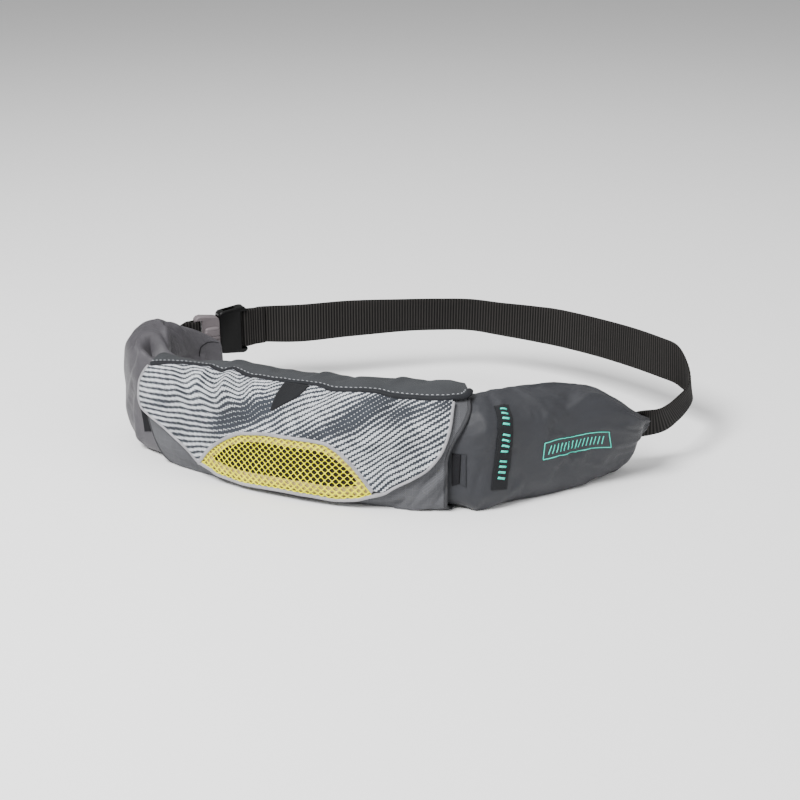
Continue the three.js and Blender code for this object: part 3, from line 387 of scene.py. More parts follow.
def lattice_noise(x, y, seed):
    """Smooth noise in about -1 to 1, from fixed gradients on a lattice."""
    draw = np.random.RandomState(seed)
    turns = draw.rand(256, 256) * 2 * np.pi
    gx, gy = np.cos(turns), np.sin(turns)
    i, j = np.floor(x).astype(int), np.floor(y).astype(int)
    fx, fy = x - i, y - j

    def corner(a, b):
        m, n = (i + a) % 256, (j + b) % 256
        return gx[m, n] * (fx - a) + gy[m, n] * (fy - b)

    ux = fx * fx * fx * (fx * (6 * fx - 15) + 10)
    uy = fy * fy * fy * (fy * (6 * fy - 15) + 10)
    return 1.5 * blend(blend(corner(0, 0), corner(1, 0), ux), blend(corner(0, 1), corner(1, 1), ux), uy)


def creases(rows, at, around):
    """Height of drawn creases, each a ridge with a shallow valley on both sides."""
    total = np.zeros(np.broadcast(at, around).shape)
    for along, turn, way, length, width, height in rows:
        du = at * SPINE_LENGTH - along
        dv = ((around - turn + 180) % 360 - 180) * GIRTH_STEP
        c, s = math.cos(math.radians(way)), math.sin(math.radians(way))
        p, q = (du * c + dv * s) / length, (dv * c - du * s) / width
        total += height * np.exp(-p * p - q * q) * (1 - 0.5 * q * q)
    return total


def crumple(at, around, seed, size=1.0):
    """Soft dents with sharper ridges, as in coated cloth that has been folded."""
    u, v = at * SPINE_LENGTH, around * GIRTH_STEP
    u = u + 5 * lattice_noise(u / 30, v / 30, seed + 5)
    soft = lattice_noise(u / 42, v / 34, seed)
    sharp = 1 - 2.2 * np.abs(lattice_noise(u / 24, v / 30, seed + 1))
    fine = lattice_noise(u / 9, v / 11, seed + 2)
    return size * (0.75 * soft + 0.38 * sharp + 0.12 * fine)


def slump(at, around):
    """Top of the pack sunk in behind the flap's left end."""
    p = (np.asarray(at, float) - SLUMP["at"]) / SLUMP["along"]
    q = (wrap(around) - SLUMP["around"]) / SLUMP["spread"]
    return -SLUMP["depth"] * np.exp(-p * p - q * q)


def hollow(at, around):
    """Deep hollow under an arched fold, where the left wing turns back."""
    p = (np.asarray(at, float) * SPINE_LENGTH - HOLLOW["along"]) / HOLLOW["length"]
    q = (wrap(around) - HOLLOW["around"]) * GIRTH_STEP / HOLLOW["width"]
    away = np.sqrt(p * p + q * q)
    arch = HOLLOW["rim"] * np.exp(-((away - 1.12) / 0.17) ** 2)
    return arch - HOLLOW["depth"] * (1 - smooth(0.5, 1.0, away))


def drawn_relief(rows, at, around, depth, seed, size, low=-58, high=238):
    """Drawn creases and soft dents, and how much of them stays, fading out towards the bottom."""
    wrapped = wrap(around)
    upright = smooth(-88, low, wrapped) * (1 - smooth(high, 268, wrapped))
    share = bpy.context.scene.pack_cloth.crease_depth
    return depth * creases(rows, at, around) * share + crumple(at, wrapped, seed, size), upright


def pouch_relief(at, around):
    relief, upright = drawn_relief(POUCH_CREASES, at, around, *POUCH_RELIEF, -62, 242)
    return relief * upright + slump(at, around)


def left_relief(at, around):
    """Relief of the left wing, which ends where the wing goes into the pouch."""
    relief, upright = drawn_relief(LEFT_CREASES, at, around, *LEFT_RELIEF)
    loose = upright * (1 - smooth(0.240, 0.258, np.asarray(at, float)))
    return (relief + hollow(at, around)) * loose + slump(at, around)


def right_relief(at, around):
    """Relief of the right wing, which is gathered at its tip and starts outside the pouch."""
    relief, upright = drawn_relief(RIGHT_CREASES, at, around, *RIGHT_RELIEF)
    gather = 0.9 * np.sin(np.radians(wrap(around)) * 9 + 0.6) * smooth(0.93, 0.985, np.asarray(at, float))
    return (relief + gather) * upright * smooth(0.697, 0.716, np.asarray(at, float))


def body_of(rows, thickness, height, relief):
    return {"rows": rows, "thickness": thickness, "height": height, "relief": relief}


POUCH_BODY = body_of(POUCH, PACK_THICKNESS, PACK_HEIGHT, pouch_relief)
LEFT_BODY = body_of(LEFT_WING, WING_THICKNESS, WING_HEIGHT, left_relief)
RIGHT_BODY = body_of(RIGHT_WING, WING_THICKNESS, WING_HEIGHT, right_relief)


def raw_skin(body, at, around, offset=0.0, relief=True):
    """Point on a body's cloth, in millimetres, before the shift to the row frame."""
    at, around, offset = np.broadcast_arrays(
        np.asarray(at, float), np.asarray(around, float), np.asarray(offset, float)
    )
    angle = np.radians(around)
    outward, upward = np.cos(angle), np.sin(angle)
    rows, thickness, tall = body["rows"], body["thickness"], body["height"]
    reach = np.where(outward > 0, column(rows, 1, at), column(rows, 2, at)) * thickness + offset
    low, high = column(rows, 3, at) * tall, column(rows, 4, at) * tall
    middle = (low + high) / 2
    half = (high - low) / 2 * np.where(upward < 0, 1 + BOTTOM_FLATTENING, 1) + offset
    power = np.where(upward < 0, LOWER_POWER, UPPER_POWER)
    radius = (np.abs(outward) ** power + np.abs(upward) ** power) ** (-1 / power)
    fold = np.zeros(at.shape)
    for place, turn, length, spread, depth in FOLDS:
        p = (at - place) / length
        q = ((around - turn + 180) % 360 - 180) / spread
        fold += depth * PACK_THICKNESS * np.exp(-p * p - q * q)
    if relief:
        fold = fold + body["relief"](at, around)
    height = np.maximum(np.maximum(middle + half * upward * radius + fold * upward, low - offset), 0)
    out = reach * outward * radius + fold * outward + column(LEAN, 1, at) * (height - middle)
    base, way = SPINE_ROUTE.at(at), SPINE_ROUTE.along(at)
    points = np.stack([base[..., 0] + way[..., 1] * out, base[..., 1] - way[..., 0] * out, height], -1)
    if relief and "settled" in body:
        points = points + settled_move(body["settled"], at, around)
    return points


def settled_move(settled, at, around):
    """How far the simulated cloth moved at a place, between the stations of its grid."""
    first, last, moves = settled
    count, sides = moves.shape[:2]
    i = np.clip((at - first) / (last - first), 0, 1) * (count - 1)
    j = ((around + 90) % 360) / 360 * sides
    i0 = np.minimum(i.astype(int), count - 2)
    j0 = j.astype(int) % sides
    wi, wj = (i - i0)[..., None], (j - np.floor(j))[..., None]
    j1 = (j0 + 1) % sides
    near = blend(moves[i0, j0], moves[i0, j1], wj)
    far = blend(moves[i0 + 1, j0], moves[i0 + 1, j1], wj)
    return blend(near, far, wi)


def find_shift():
    """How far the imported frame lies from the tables' own origin, read from the pouch's solid."""
    at, around = np.meshgrid(np.linspace(POUCH_FROM, POUCH_TO, 23), np.arange(0, 360, 3.0))
    points = raw_skin(POUCH_BODY, at, around, 0, relief=False).reshape(-1, 3)
    low, high = np.array(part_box("pouch"))
    shift = (low + high) / 2 / MM - (points.min(0) + points.max(0)) / 2
    shift[2] = 0
    return shift


SHIFT = find_shift()


def row_frame(points):
    """Metres in the row frame, from the tables' millimetres."""
    return (np.asarray(points, float) + SHIFT) * MM


def skin(body, at, around, offset=0.0):
    return row_frame(raw_skin(body, at, around, offset))


def line_steps(rows):
    """Length of each step of a line in the cloth, in millimetres."""
    rows = np.asarray(rows, float)
    return np.hypot(np.diff(rows[:, 0]) * SPINE_LENGTH, np.diff(rows[:, 1]) * GIRTH_STEP)


def line_points(rows, share):
    """Places along a line of cloth rows, evenly by the cloth's length."""
    rows = np.asarray(rows, float)
    steps = line_steps(rows)
    way = np.concatenate([[0], np.cumsum(steps)]) / steps.sum()
    table = np.column_stack([rows, way])
    return column(table, 0, share, 2), column(table, 1, share, 2)


def line_length(rows):
    return line_steps(rows).sum()


def side_way(at, around):
    """Unit way to the left of a cloth line, as shares of the spine and degrees for 1 mm."""
    du = np.gradient(at) * SPINE_LENGTH
    dv = np.gradient(around) * GIRTH_STEP
    size = np.hypot(du, dv)
    return -dv / size / SPINE_LENGTH, du / size / GIRTH_STEP


def shifted(rows, distance, count=48):
    """The same line moved sideways in the cloth: a positive distance is to its left."""
    at, around = line_points(rows, np.linspace(0, 1, count + 1))
    sa, sr = side_way(at, around)
    return np.column_stack([at + sa * distance, around + sr * distance])


# Meshes


def make_piece(name, verts, faces, uvs=None, facts=None, smooth_faces=True):
    """Mesh object from vertices, faces, cloth coordinates and vertex facts."""
    mesh = bpy.data.meshes.new(name)
    mesh.from_pydata(np.asarray(verts).tolist(), [], [tuple(f) for f in faces])
    if uvs is not None:
        layer = mesh.uv_layers.new(name="cloth")
        corners = np.empty(len(mesh.loops), dtype=np.int32)
        mesh.loops.foreach_get("vertex_index", corners)
        flat = uvs(mesh, corners) if callable(uvs) else np.asarray(uvs)[corners]
        layer.data.foreach_set("uv", np.asarray(flat, dtype=np.float32).ravel())
    for key, value in (facts or {}).items():
        fact = mesh.attributes.new(key, "FLOAT", "POINT")
        fact.data.foreach_set("value", np.asarray(value, dtype=np.float32).ravel())
    mesh.validate()
    mesh.polygons.foreach_set("use_smooth", [smooth_faces] * len(mesh.polygons))
    mesh.update()
    piece = bpy.data.objects.new(name, mesh)
    bpy.context.scene.collection.objects.link(piece)
    return piece


def turn_outward(verts, faces):
    """Faces of a closed shell, turned so that they point out."""
    points = np.asarray(verts)
    volume = 0.0
    for size in (3, 4):
        chosen = np.array([f for f in faces if len(f) == size])
        if len(chosen):
            corners = points[chosen]
            for k in range(1, size - 1):
                crossed = np.cross(corners[:, k], corners[:, k + 1])
                volume += np.einsum("ij,ij->", corners[:, 0], crossed)
    return faces if volume > 0 else [tuple(reversed(f)) for f in faces]


def quads(rows, count, closed_along=False):
    """Faces between rings of count vertices."""
    faces = []
    for i in range(rows if closed_along else rows - 1):
        here, after = i * count, ((i + 1) % rows) * count
        for j in range(count):
            k = (j + 1) % count
            faces.append((here + j, after + j, after + k, here + k))
    return faces


def gather_parts(parts):
    """Vertices and faces of many small shells as one mesh."""
    verts, faces, first = [], [], 0
    for points, part_faces in parts:
        verts.append(points)
        faces += [tuple(k + first for k in f) for f in part_faces]
        first += len(points)
    return np.vstack(verts), faces


def join_parts(name, parts):
    """Many small shells as one piece, merged and turned outward."""
    verts, faces = gather_parts(parts)
    piece = make_piece(name, verts, faces, np.zeros((len(verts), 2)))
    clean_shell(piece)
    return piece


def ring_uvs(cloth):
    """Cloth coordinates at face corners, with the seam's last step carried on past a full turn."""
    cloth = np.asarray(cloth, float)
    girth = 360 * GIRTH_STEP

    def corner_values(mesh, corners):
        values = cloth[corners].copy()
        starts = np.empty(len(mesh.polygons), dtype=np.int32)
        sizes = np.empty(len(mesh.polygons), dtype=np.int32)
        mesh.polygons.foreach_get("loop_start", starts)
        mesh.polygons.foreach_get("loop_total", sizes)
        for start, size in zip(starts, sizes):
            v = values[start:start + size, 1]
            if v.max() - v.min() > girth / 2:
                values[start:start + size, 1] = np.where(v < v.max() - girth / 2, v + girth, v)
        return values

    return corner_values


def tube_piece(name, rings, cloth=None, closed=False, facts=None):
    """Closed shell through rings of points, its ends closed by fans, or joined end to end."""
    rings = np.asarray(rings)
    count, sides = rings.shape[:2]
    verts = rings.reshape(-1, 3)
    faces = quads(count, sides, closed)
    if not closed:
        ends = verts.reshape(count, sides, 3)[[0, -1]].mean(1)
        verts = np.vstack([verts, ends])
        total = count * sides
        base = (count - 1) * sides
        for j in range(sides):
            k = (j + 1) % sides
            faces.append((total, j, k))
            faces.append((total + 1, base + k, base + j))
        if cloth is not None:
            cloth = np.asarray(cloth, float).reshape(count, sides, 2)
            cloth = np.vstack([cloth.reshape(-1, 2), cloth[[0, -1]].mean(1)])
    faces = turn_outward(verts, faces)
    uvs = None if cloth is None else ring_uvs(np.asarray(cloth).reshape(-1, 2))
    return make_piece(name, verts, faces, uvs, facts)


def shell_grid(outer, inner, name, cloth, facts=None):
    """Sheet with thickness: an outer and an inner grid of points, joined round their borders."""
    nu, nv = outer.shape[:2]
    verts = np.vstack([outer.reshape(-1, 3), inner.reshape(-1, 3)])
    back = nu * nv
    faces = []
    for i in range(nu - 1):
        for j in range(nv - 1):
            a, b, c, d = i * nv + j, (i + 1) * nv + j, (i + 1) * nv + j + 1, i * nv + j + 1
            faces.append((a, b, c, d))
            faces.append((a + back, d + back, c + back, b + back))
    for i in range(nu - 1):
        a, b = i * nv, (i + 1) * nv
        faces.append((b, a, a + back, b + back))
        a, b = a + nv - 1, b + nv - 1
        faces.append((a, b, b + back, a + back))
    for j in range(nv - 1):
        faces.append((j, j + 1, j + 1 + back, j + back))
        a = (nu - 1) * nv + j
        faces.append((a + 1, a, a + back, a + 1 + back))
    faces = turn_outward(verts, faces)
    cloth = np.asarray(cloth).reshape(-1, 2)
    doubled = {k: np.concatenate([np.ravel(v)] * 2) for k, v in (facts or {}).items()}
    return make_piece(name, verts, faces, np.vstack([cloth, cloth]), doubled)


def cloth_mm(at, around):
    return np.stack([at * SPINE_LENGTH, around * GIRTH_STEP], -1)


def sheet_piece(name, line_a, line_b, steps, inner, outer, facts=None):
    """Cloth sheet on the pouch between two lines, at high resolution."""
    columns, rows = steps
    share = np.linspace(0, 1, columns + 1)
    a_at, a_round = line_a(share)
    b_at, b_round = line_b(share)
    t = np.linspace(0, 1, rows + 1)[None, :]
    at = blend(a_at[:, None], b_at[:, None], t)
    around = blend(a_round[:, None], b_round[:, None], t)
    made = facts(at, around) if facts else None
    return shell_grid(
        skin(POUCH_BODY, at, around, outer), skin(POUCH_BODY, at, around, inner), name,
        cloth_mm(at, around), made,
    )


def cord_on_cloth(name, body, rows, width, thickness, offset, steps, sides=12, closed=False):
    """Round or oval cord sewn along a line in the cloth."""
    share = np.arange(steps if closed else steps + 1) / steps
    at, around = line_points(rows, share)
    sa, sr = side_way(at, around)
    angle = 2 * np.pi * (np.arange(sides) + 0.5) / sides
    aside = (np.cos(angle) * width / 2)[None, :]
    out = offset + (np.sin(angle) * thickness / 2)[None, :]
    place = at[:, None] + sa[:, None] * aside
    turn = around[:, None] + sr[:, None] * aside
    rings = skin(body, place, turn, np.broadcast_to(out, place.shape))
    way = share[:, None] * line_length(rows)
    cloth = np.stack(np.broadcast_arrays(way, np.degrees(angle)[None, :] * GIRTH_STEP), -1)
    return tube_piece(name, rings, cloth, closed)


def stitch_row(name, rows, sides=6):
    """Row of short threads lying on the flap along a line."""
    length, pitch, thickness = STITCH["length"], STITCH["length"] + STITCH["space"], STITCH["thickness"]
    total = line_length(rows)
    parts = []
    angle = np.linspace(0, 2 * np.pi, sides + 1)[:-1]
    for i in range(int(total / pitch)):
        start = (i + 0.2) * pitch / total
        share = start + np.array([0, 0.25, 0.75, 1.0]) * length / total
        at, around = line_points(rows, share)
        sa, sr = side_way(at, around)
        bulge = np.array([0.45, 1, 1, 0.45])[:, None] * thickness / 2
        drop = np.array([-0.4, 0.1, 0.1, -0.4])[:, None] * thickness
        place = at[:, None] + sa[:, None] * np.cos(angle)[None, :] * bulge
        turn = around[:, None] + sr[:, None] * np.cos(angle)[None, :] * bulge
        points = skin(POUCH_BODY, place, turn, STITCH_SEAT + drop + np.sin(angle)[None, :] * bulge)
        faces = quads(len(share), sides)
        last = (len(share) - 1) * sides
        faces += [tuple(range(sides))[::-1], tuple(last + j for j in range(sides))]
        parts.append((points.reshape(-1, 3), faces))
    return make_piece(name, *gather_parts(parts))


# Materials


class Finish:
    """Small helper that builds a node material step by step."""

    def __init__(self, name, roughness, sheen, specular):
        self.material = bpy.data.materials.new(name)
        self.material.use_nodes = True
        self.nodes = self.material.node_tree.nodes
        self.links = self.material.node_tree.links
        self.shader = self.nodes["Principled BSDF"]
        self.shader.inputs["Roughness"].default_value = roughness
        self.shader.inputs["Sheen Weight"].default_value = sheen
        self.shader.inputs["Sheen Roughness"].default_value = 0.5
        self.shader.inputs["Specular IOR Level"].default_value = specular

    def node(self, kind, **settings):
        made = self.nodes.new(kind)
        for key, value in settings.items():
            setattr(made, key, value)
        return made

    def join(self, value, socket):
        if isinstance(value, (int, float)):
            socket.default_value = value
        elif isinstance(value, (tuple, list)):
            full = (1.0,) if len(value) == 3 and len(socket.default_value) == 4 else ()
            socket.default_value = tuple(value) + full
        else:
            self.links.new(value, socket)

    def math(self, operation, *values):
        made = self.node("ShaderNodeMath", operation=operation)
        for value, socket in zip(values, made.inputs):
            self.join(value, socket)
        return made.outputs[0]

    def cloth(self):
        """Millimetres along and round the cloth, as two values."""
        uv = self.node("ShaderNodeUVMap", uv_map="cloth")
        parts = self.node("ShaderNodeSeparateXYZ")
        self.links.new(uv.outputs[0], parts.inputs[0])
        return parts.outputs[0], parts.outputs[1]

    def place(self):
        """Object coordinates, in metres."""
        return self.node("ShaderNodeTexCoord").outputs["Object"]

    def noise(self, vector, scale, detail=3.0, rough=0.55):
        made = self.node("ShaderNodeTexNoise")
        self.links.new(vector, made.inputs["Vector"])
        made.inputs["Scale"].default_value = scale
        made.inputs["Detail"].default_value = detail
        made.inputs["Roughness"].default_value = rough
        return made.outputs["Fac"]

    def ramp(self, value, low, high):
        """Value taken from low..high to 0..1, softly."""
        made = self.node("ShaderNodeMapRange", interpolation_type="SMOOTHSTEP")
        self.join(value, made.inputs["Value"])
        made.inputs["From Min"].default_value = low
        made.inputs["From Max"].default_value = high
        return made.outputs[0]

    def mix(self, share, a, b):
        made = self.node("ShaderNodeMix", data_type="RGBA")
        self.join(share, made.inputs[0])
        self.join(a, made.inputs[6])
        self.join(b, made.inputs[7])
        return made.outputs[2]

    def wave(self, value, pitch):
        """Sine of a length in millimetres, from -1 to 1."""
        return self.math("SINE", self.math("MULTIPLY_ADD", value, 2 * math.pi / pitch, 0.0))

    def threads(self, u, v, pitch_u, pitch_v, low, high):
        """Crossing threads, each a soft spot."""
        return self.ramp(self.math("MULTIPLY", self.wave(u, pitch_u), self.wave(v, pitch_v)), low, high)

    def worn(self, patches, color, dark, light, high=0.7):
        """Colour that is uneven in patches, as on a used thing."""
        return self.mix(self.ramp(patches, 0.3, high), lighter(color, dark), lighter(color, light))

    def fact(self, name):
        return self.node("ShaderNodeAttribute", attribute_name=name).outputs["Fac"]

    def color(self, value):
        self.join(value, self.shader.inputs["Base Color"])

    def rough(self, value):
        self.join(value, self.shader.inputs["Roughness"])

    def bump(self, height, distance, strength, under=None):
        made = self.node("ShaderNodeBump")
        made.inputs["Distance"].default_value = distance
        made.inputs["Strength"].default_value = strength
        self.join(height, made.inputs["Height"])
        if under is not None:
            self.links.new(under, made.inputs["Normal"])
        self.links.new(made.outputs[0], self.shader.inputs["Normal"])
        return made.outputs[0]


def lighter(color, share):
    return tuple(min(1.0, c * share) for c in color)


def woven(name, color, pitch=1.1, grid=None, contrast=0.25, roughness=0.75):
    """Plain or ripstop weave, with worn, uneven colour."""
    f = Finish(name, roughness, 0.03, 0.25)
    u, v = f.cloth()
    height = light = f.threads(u, v, pitch, pitch, -0.4, 0.9)
    tone = f.worn(f.noise(f.place(), 26.0, 4.0), color, 0.82, 1.16)
    tone = f.mix(f.math("MULTIPLY", light, contrast), tone, lighter(color, 2.1))
    if grid:
        lines = f.math("MAXIMUM", f.ramp(f.wave(u, grid), 0.94, 1.0), f.ramp(f.wave(v, grid), 0.94, 1.0))
        tone = f.mix(f.math("MULTIPLY", lines, 0.35), tone, lighter(color, 1.8))
        height = f.math("ADD", light, lines)
    f.color(tone)
    first = f.bump(height, 0.00022, 0.9)
    f.bump(f.noise(f.place(), 95.0, 4.0), 0.0007, 0.5, first)
    return f.material


def coated(name, color, roughness=0.5):
    """Smooth coated cloth: a faint weave, fine wrinkles and a soft gloss."""
    f = Finish(name, roughness, 0.03, 0.4)
    u, v = f.cloth()
    light = f.threads(u, v, 0.9, 0.9, -0.5, 0.9)
    patches = f.noise(f.place(), 18.0, 5.0)
    tone = f.worn(patches, color, 0.84, 1.14, 0.72)
    f.color(f.mix(f.math("MULTIPLY", light, 0.16), tone, lighter(color, 1.7)))
    f.rough(f.math("MULTIPLY_ADD", patches, 0.25, roughness - 0.12))
    first = f.bump(light, 0.00012, 0.7)
    second = f.bump(f.noise(f.place(), 60.0, 5.0), 0.0011, 0.55, first)
    f.bump(f.noise(f.place(), 210.0, 4.0), 0.0003, 0.5, second)
    return f.material


def tape(name, color, roughness=0.7, pitch=0.9):
    """Narrow tape or piping: fine ribs across it and a slightly worn face."""
    f = Finish(name, roughness, 0.0, 0.25)
    ribs = f.ramp(f.wave(f.cloth()[0], pitch), -1, 1)
    tone = f.worn(f.noise(f.place(), 60.0, 4.0), color, 0.85, 1.15)
    f.color(f.mix(f.math("MULTIPLY", ribs, 0.3), tone, lighter(color, 1.5)))
    f.bump(ribs, 0.00015, 0.8)
    return f.material


def moulded(name, color, roughness=0.42):
    """Moulded plastic with a fine texture and slight mottling."""
    f = Finish(name, roughness, 0.0, 0.18)
    patches = f.noise(f.place(), 40.0, 3.0)
    f.color(f.worn(patches, color, 0.88, 1.14))
    f.rough(f.math("MULTIPLY_ADD", patches, 0.18, roughness - 0.08))
    f.bump(f.noise(f.place(), 900.0, 2.0), 0.00012, 0.35)
    return f.material


def hooks(name, color):
    """Hook tape: rows of tiny stiff hooks."""
    f = Finish(name, 0.9, 0.0, 0.15)
    u, v = f.cloth()
    dots = f.threads(u, v, 1.5, 1.5, 0.0, 0.8)
    fuzz = f.noise(f.place(), 700.0, 3.0)
    f.color(f.mix(f.math("MULTIPLY", dots, fuzz), lighter(color, 0.7), lighter(color, 3.0)))
    first = f.bump(dots, 0.0005, 0.9)
    f.bump(fuzz, 0.0003, 0.6, first)
    return f.material


def printed(name, settings):
    """Dark woven cloth with pale wavy stripes that break up into small dots."""
    f = Finish(name, 0.66, 0.0, 0.3)
    u, v = f.cloth()
    ground, pitch = settings.dark_color, settings.dot_pitch
    stripe = f.wave(f.fact("phase"), settings.stripe_pitch)
    slanted = f.math("ADD", f.math("MULTIPLY", u, 0.8), f.math("MULTIPLY", v, 0.6))
    crossed = f.math("SUBTRACT", f.math("MULTIPLY", v, 0.8), f.math("MULTIPLY", u, 0.6))
    dots = f.math("MULTIPLY", f.wave(slanted, pitch), f.wave(crossed, pitch))
    level = f.math("ADD", f.math("MULTIPLY", stripe, 0.8), f.math("MULTIPLY", f.fact("ink"), 1.9))
    level = f.math("SUBTRACT", level, 1.05)
    pale = f.ramp(f.math("ADD", level, f.math("MULTIPLY", dots, 0.72)), -0.08, 0.16)
    patches = f.noise(f.place(), 34.0, 4.0)
    threads = f.threads(u, v, 0.8, 0.8, -0.4, 0.9)
    dark = f.worn(patches, ground, 0.85, 1.2)
    light = f.worn(patches, settings.stripe_color, 0.9, 1.08)
    base = f.mix(f.math("MULTIPLY", threads, 0.12), dark, lighter(ground, 2.0))
    f.color(f.mix(pale, base, light))
    first = f.bump(threads, 0.0002, 0.8)
    second = f.bump(pale, 0.00012, 0.6, first)
    f.bump(f.noise(f.place(), 90.0, 4.0), 0.0006, 0.4, second)
    return f.material


def net_finish(name, color):
    """Matt knitted net with uneven strands."""
    f = Finish(name, 0.75, 0.0, 0.06)
    strands = f.noise(f.place(), 1500.0, 2.0)
    tone = f.worn(f.noise(f.place(), 120.0, 3.0), color, 0.82, 1.1)
    f.color(f.mix(f.math("MULTIPLY", strands, 0.2), tone, lighter(color, 0.7)))
    f.bump(strands, 0.0003, 0.7)
    return f.material


def lining_and_shade_finish(name, dark, tan):
    """Lining behind the net: tan where a facing backs the border, dark in the pocket, partly the lining's
    own cloth and partly painted shade inside the pocket.
    """
    f = Finish(name, 0.9, 0.0, 0.1)
    u, v = f.cloth()
    rim = f.ramp(f.fact("rim"), 0.4, 0.6)
    threads = f.threads(u, v, 0.9, 0.9, -0.4, 0.9)
    # The dark colour is partly the lining's cloth and partly painted shade inside the pocket.
    shaded = f.mix(f.math("MULTIPLY", threads, 0.3), dark, lighter(dark, 3.0))
    f.color(f.mix(rim, shaded, tan))
    f.bump(threads, 0.0002, 0.8)
    return f.material


def ribbed(name, color):
    """Webbing: the ribs are in the mesh, and this adds the yarns and paints the rib crests lighter as a
    painted highlight.
    """
    f = Finish(name, 0.78, 0.0, 0.12)
    u, v = f.cloth()
    yarns = f.ramp(f.wave(v, 1.3), -1, 1)
    tone = f.worn(f.noise(f.place(), 22.0, 4.0), color, 0.8, 1.25)
    # Painted highlight: the rib crests are painted up to eight times lighter, standing in for light caught
    # on the ribs.
    rib = f.ramp(f.fact("rib"), 0.2, 1.0)
    f.color(f.mix(f.math("MULTIPLY", rib, 0.9), tone, lighter(color, 8.0)))
    first = f.bump(yarns, 0.00012, 0.7)
    f.bump(f.threads(u, v, 1.2, 2.6, -0.5, 0.8), 0.0001, 0.6, first)
    return f.material


def paint(piece, material):
    piece.data.materials.clear()
    piece.data.materials.append(material)
    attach(piece, "root")
    return piece


# Pieces


def color_value(name, description, value):
    return FloatVectorProperty(
        name=name, description=description, subtype="COLOR", size=3, default=value, min=0, max=1,
    )


def number_value(name, description, value, low, high, **kind):
    return FloatProperty(name=name, description=description, default=value, min=low, max=high, **kind)


class ClothSettings(bpy.types.PropertyGroup):
    """Colours and folds of the pouch, wings and hood"""
    pouch_color: color_value("Pouch", "Colour of the pouch's cloth", (0.068, 0.069, 0.075))
    hood_color: color_value("Hood", "Colour of the flap's top", (0.028, 0.030, 0.033))
    left_color: color_value("Left wing", "Colour of the left wing", (0.050, 0.047, 0.0535))
    right_color: color_value("Right wing", "Colour of the right wing", (0.0160, 0.0170, 0.0212))
    edge_color: color_value("Edges", "Colour of the bound edges", (0.024, 0.025, 0.029))
    settle_reach: number_value(
        "Settling", "How far the stuffed cloth may settle, in millimetres", 2.4, 0, 8,
    )
    crease_depth: number_value(
        "Crease depth", "How deep the drawn creases are, 1 as made", 1.0, 0, 2, subtype="FACTOR",
    )


class FlapSettings(bpy.types.PropertyGroup):
    """Colours and print of the flap"""
    dark_color: color_value("Ground", "Colour of the printed cloth", (0.024, 0.028, 0.036))
    stripe_color: color_value("Stripes", "Colour of the printed stripes", (0.56, 0.58, 0.61))
    binding_color: color_value("Binding", "Colour of the binding", (0.009, 0.0098, 0.012))
    piping_color: color_value("Piping", "Colour of the piping", (0.27, 0.265, 0.28))
    stitch_color: color_value("Stitches", "Colour of the top stitches", (0.33, 0.34, 0.36))
    stripe_pitch: number_value("Stripe pitch", "Distance from stripe to stripe, in millimetres", 4.5, 2, 12)
    dot_pitch: number_value("Dot pitch", "Distance from dot to dot, in millimetres", 2.6, 0.8, 5)


class NetSettings(bpy.types.PropertyGroup):
    """Colours and cells of the net pocket"""
    net_color: color_value("Net", "Colour of the net", (0.82, 0.77, 0.002))
    # Very dark: partly the lining's own cloth and partly painted shade inside the pocket.
    lining_and_shade_color: color_value("Lining", "Colour inside the pocket", (0.022, 0.018, 0.014))
    facing_color: color_value("Facing", "Colour behind the net's border", (0.55, 0.44, 0.19))
    cell_width: number_value("Cell width", "Width of a net cell, in millimetres", 5.6, 3, 12)
    cell_height: number_value("Cell height", "Height of a net cell, in millimetres", 5.2, 3, 12)


class WebbingSettings(bpy.types.PropertyGroup):
    """Colour and ribs of the webbing"""
    strap_color: color_value("Strap", "Colour of the webbing", (0.0046, 0.0043, 0.0041))
    rib_pitch: number_value("Rib pitch", "Distance from rib to rib, in millimetres", 2.8, 1, 6)
    rib_height: number_value("Rib height", "Height of a rib, in millimetres", 0.5, 0, 1)


class BuckleSettings(bpy.types.PropertyGroup):
    """Colours and edges of the buckle"""
    socket_color: color_value("Socket", "Colour of the socket half", (0.0014, 0.0015, 0.0016))
    prong_color: color_value("Prongs", "Colour of the prong half", (0.130, 0.114, 0.120))
    edge_radius: number_value(
        "Edge radius", "Radius of the moulded edges", 0.0005, 0, 0.002, unit="LENGTH",
    )


class MarkSettings(bpy.types.PropertyGroup):
    """Colours of the patches and accent lines"""
    patch_color: color_value("Patches", "Colour of the label and tab", (0.007, 0.0075, 0.009))
    accent_color: color_value("Accent", "Colour of the plain accent lines", (0.03, 0.60, 0.46))
    hook_color: color_value("Hooks", "Colour of the hook tape", (0.014, 0.014, 0.016))


class StageSettings(bpy.types.PropertyGroup):
    """Floor, lights and camera"""
    floor_color: color_value("Floor", "Colour of the floor", (0.93, 0.93, 0.93))
    key_power: number_value("Key light", "Power of the main soft light, in watts", 88.0, 0, 1000)
    fill_power: number_value("Fill light", "Power of the fill light, in watts", 14.0, 0, 1000)
    view_distance: number_value(
        "Camera distance", "From the camera to the pack's middle", 1.3, 0.5, 5, unit="LENGTH",
    )
    view_pitch: number_value(
        "Camera pitch", "How far the camera looks down", math.radians(22), 0, 1.5,
        subtype="ANGLE", unit="ROTATION",
    )


def left_mouth(around):
    """Where the pouch starts at its left mouth, which slants in towards its lower front."""
    low = smooth(-70, 0, around)
    slant = (1 - low) * smooth(-90, -72, around)
    return POUCH_FROM - LEFT_MOUTH_SEAT + LEFT_MOUTH_SLANT * slant


def right_mouth(around):
    """Where the pouch ends at its right mouth, which slants out above and below its middle."""
    upper = smooth(-5, 55, around) * (1 - smooth(110, 150, around))
    lower = (1 - smooth(-74, -44, around)) * smooth(-90, -80, around)
    return POUCH_TO + RIGHT_MOUTH_UPPER * upper + RIGHT_MOUTH_LOWER * lower


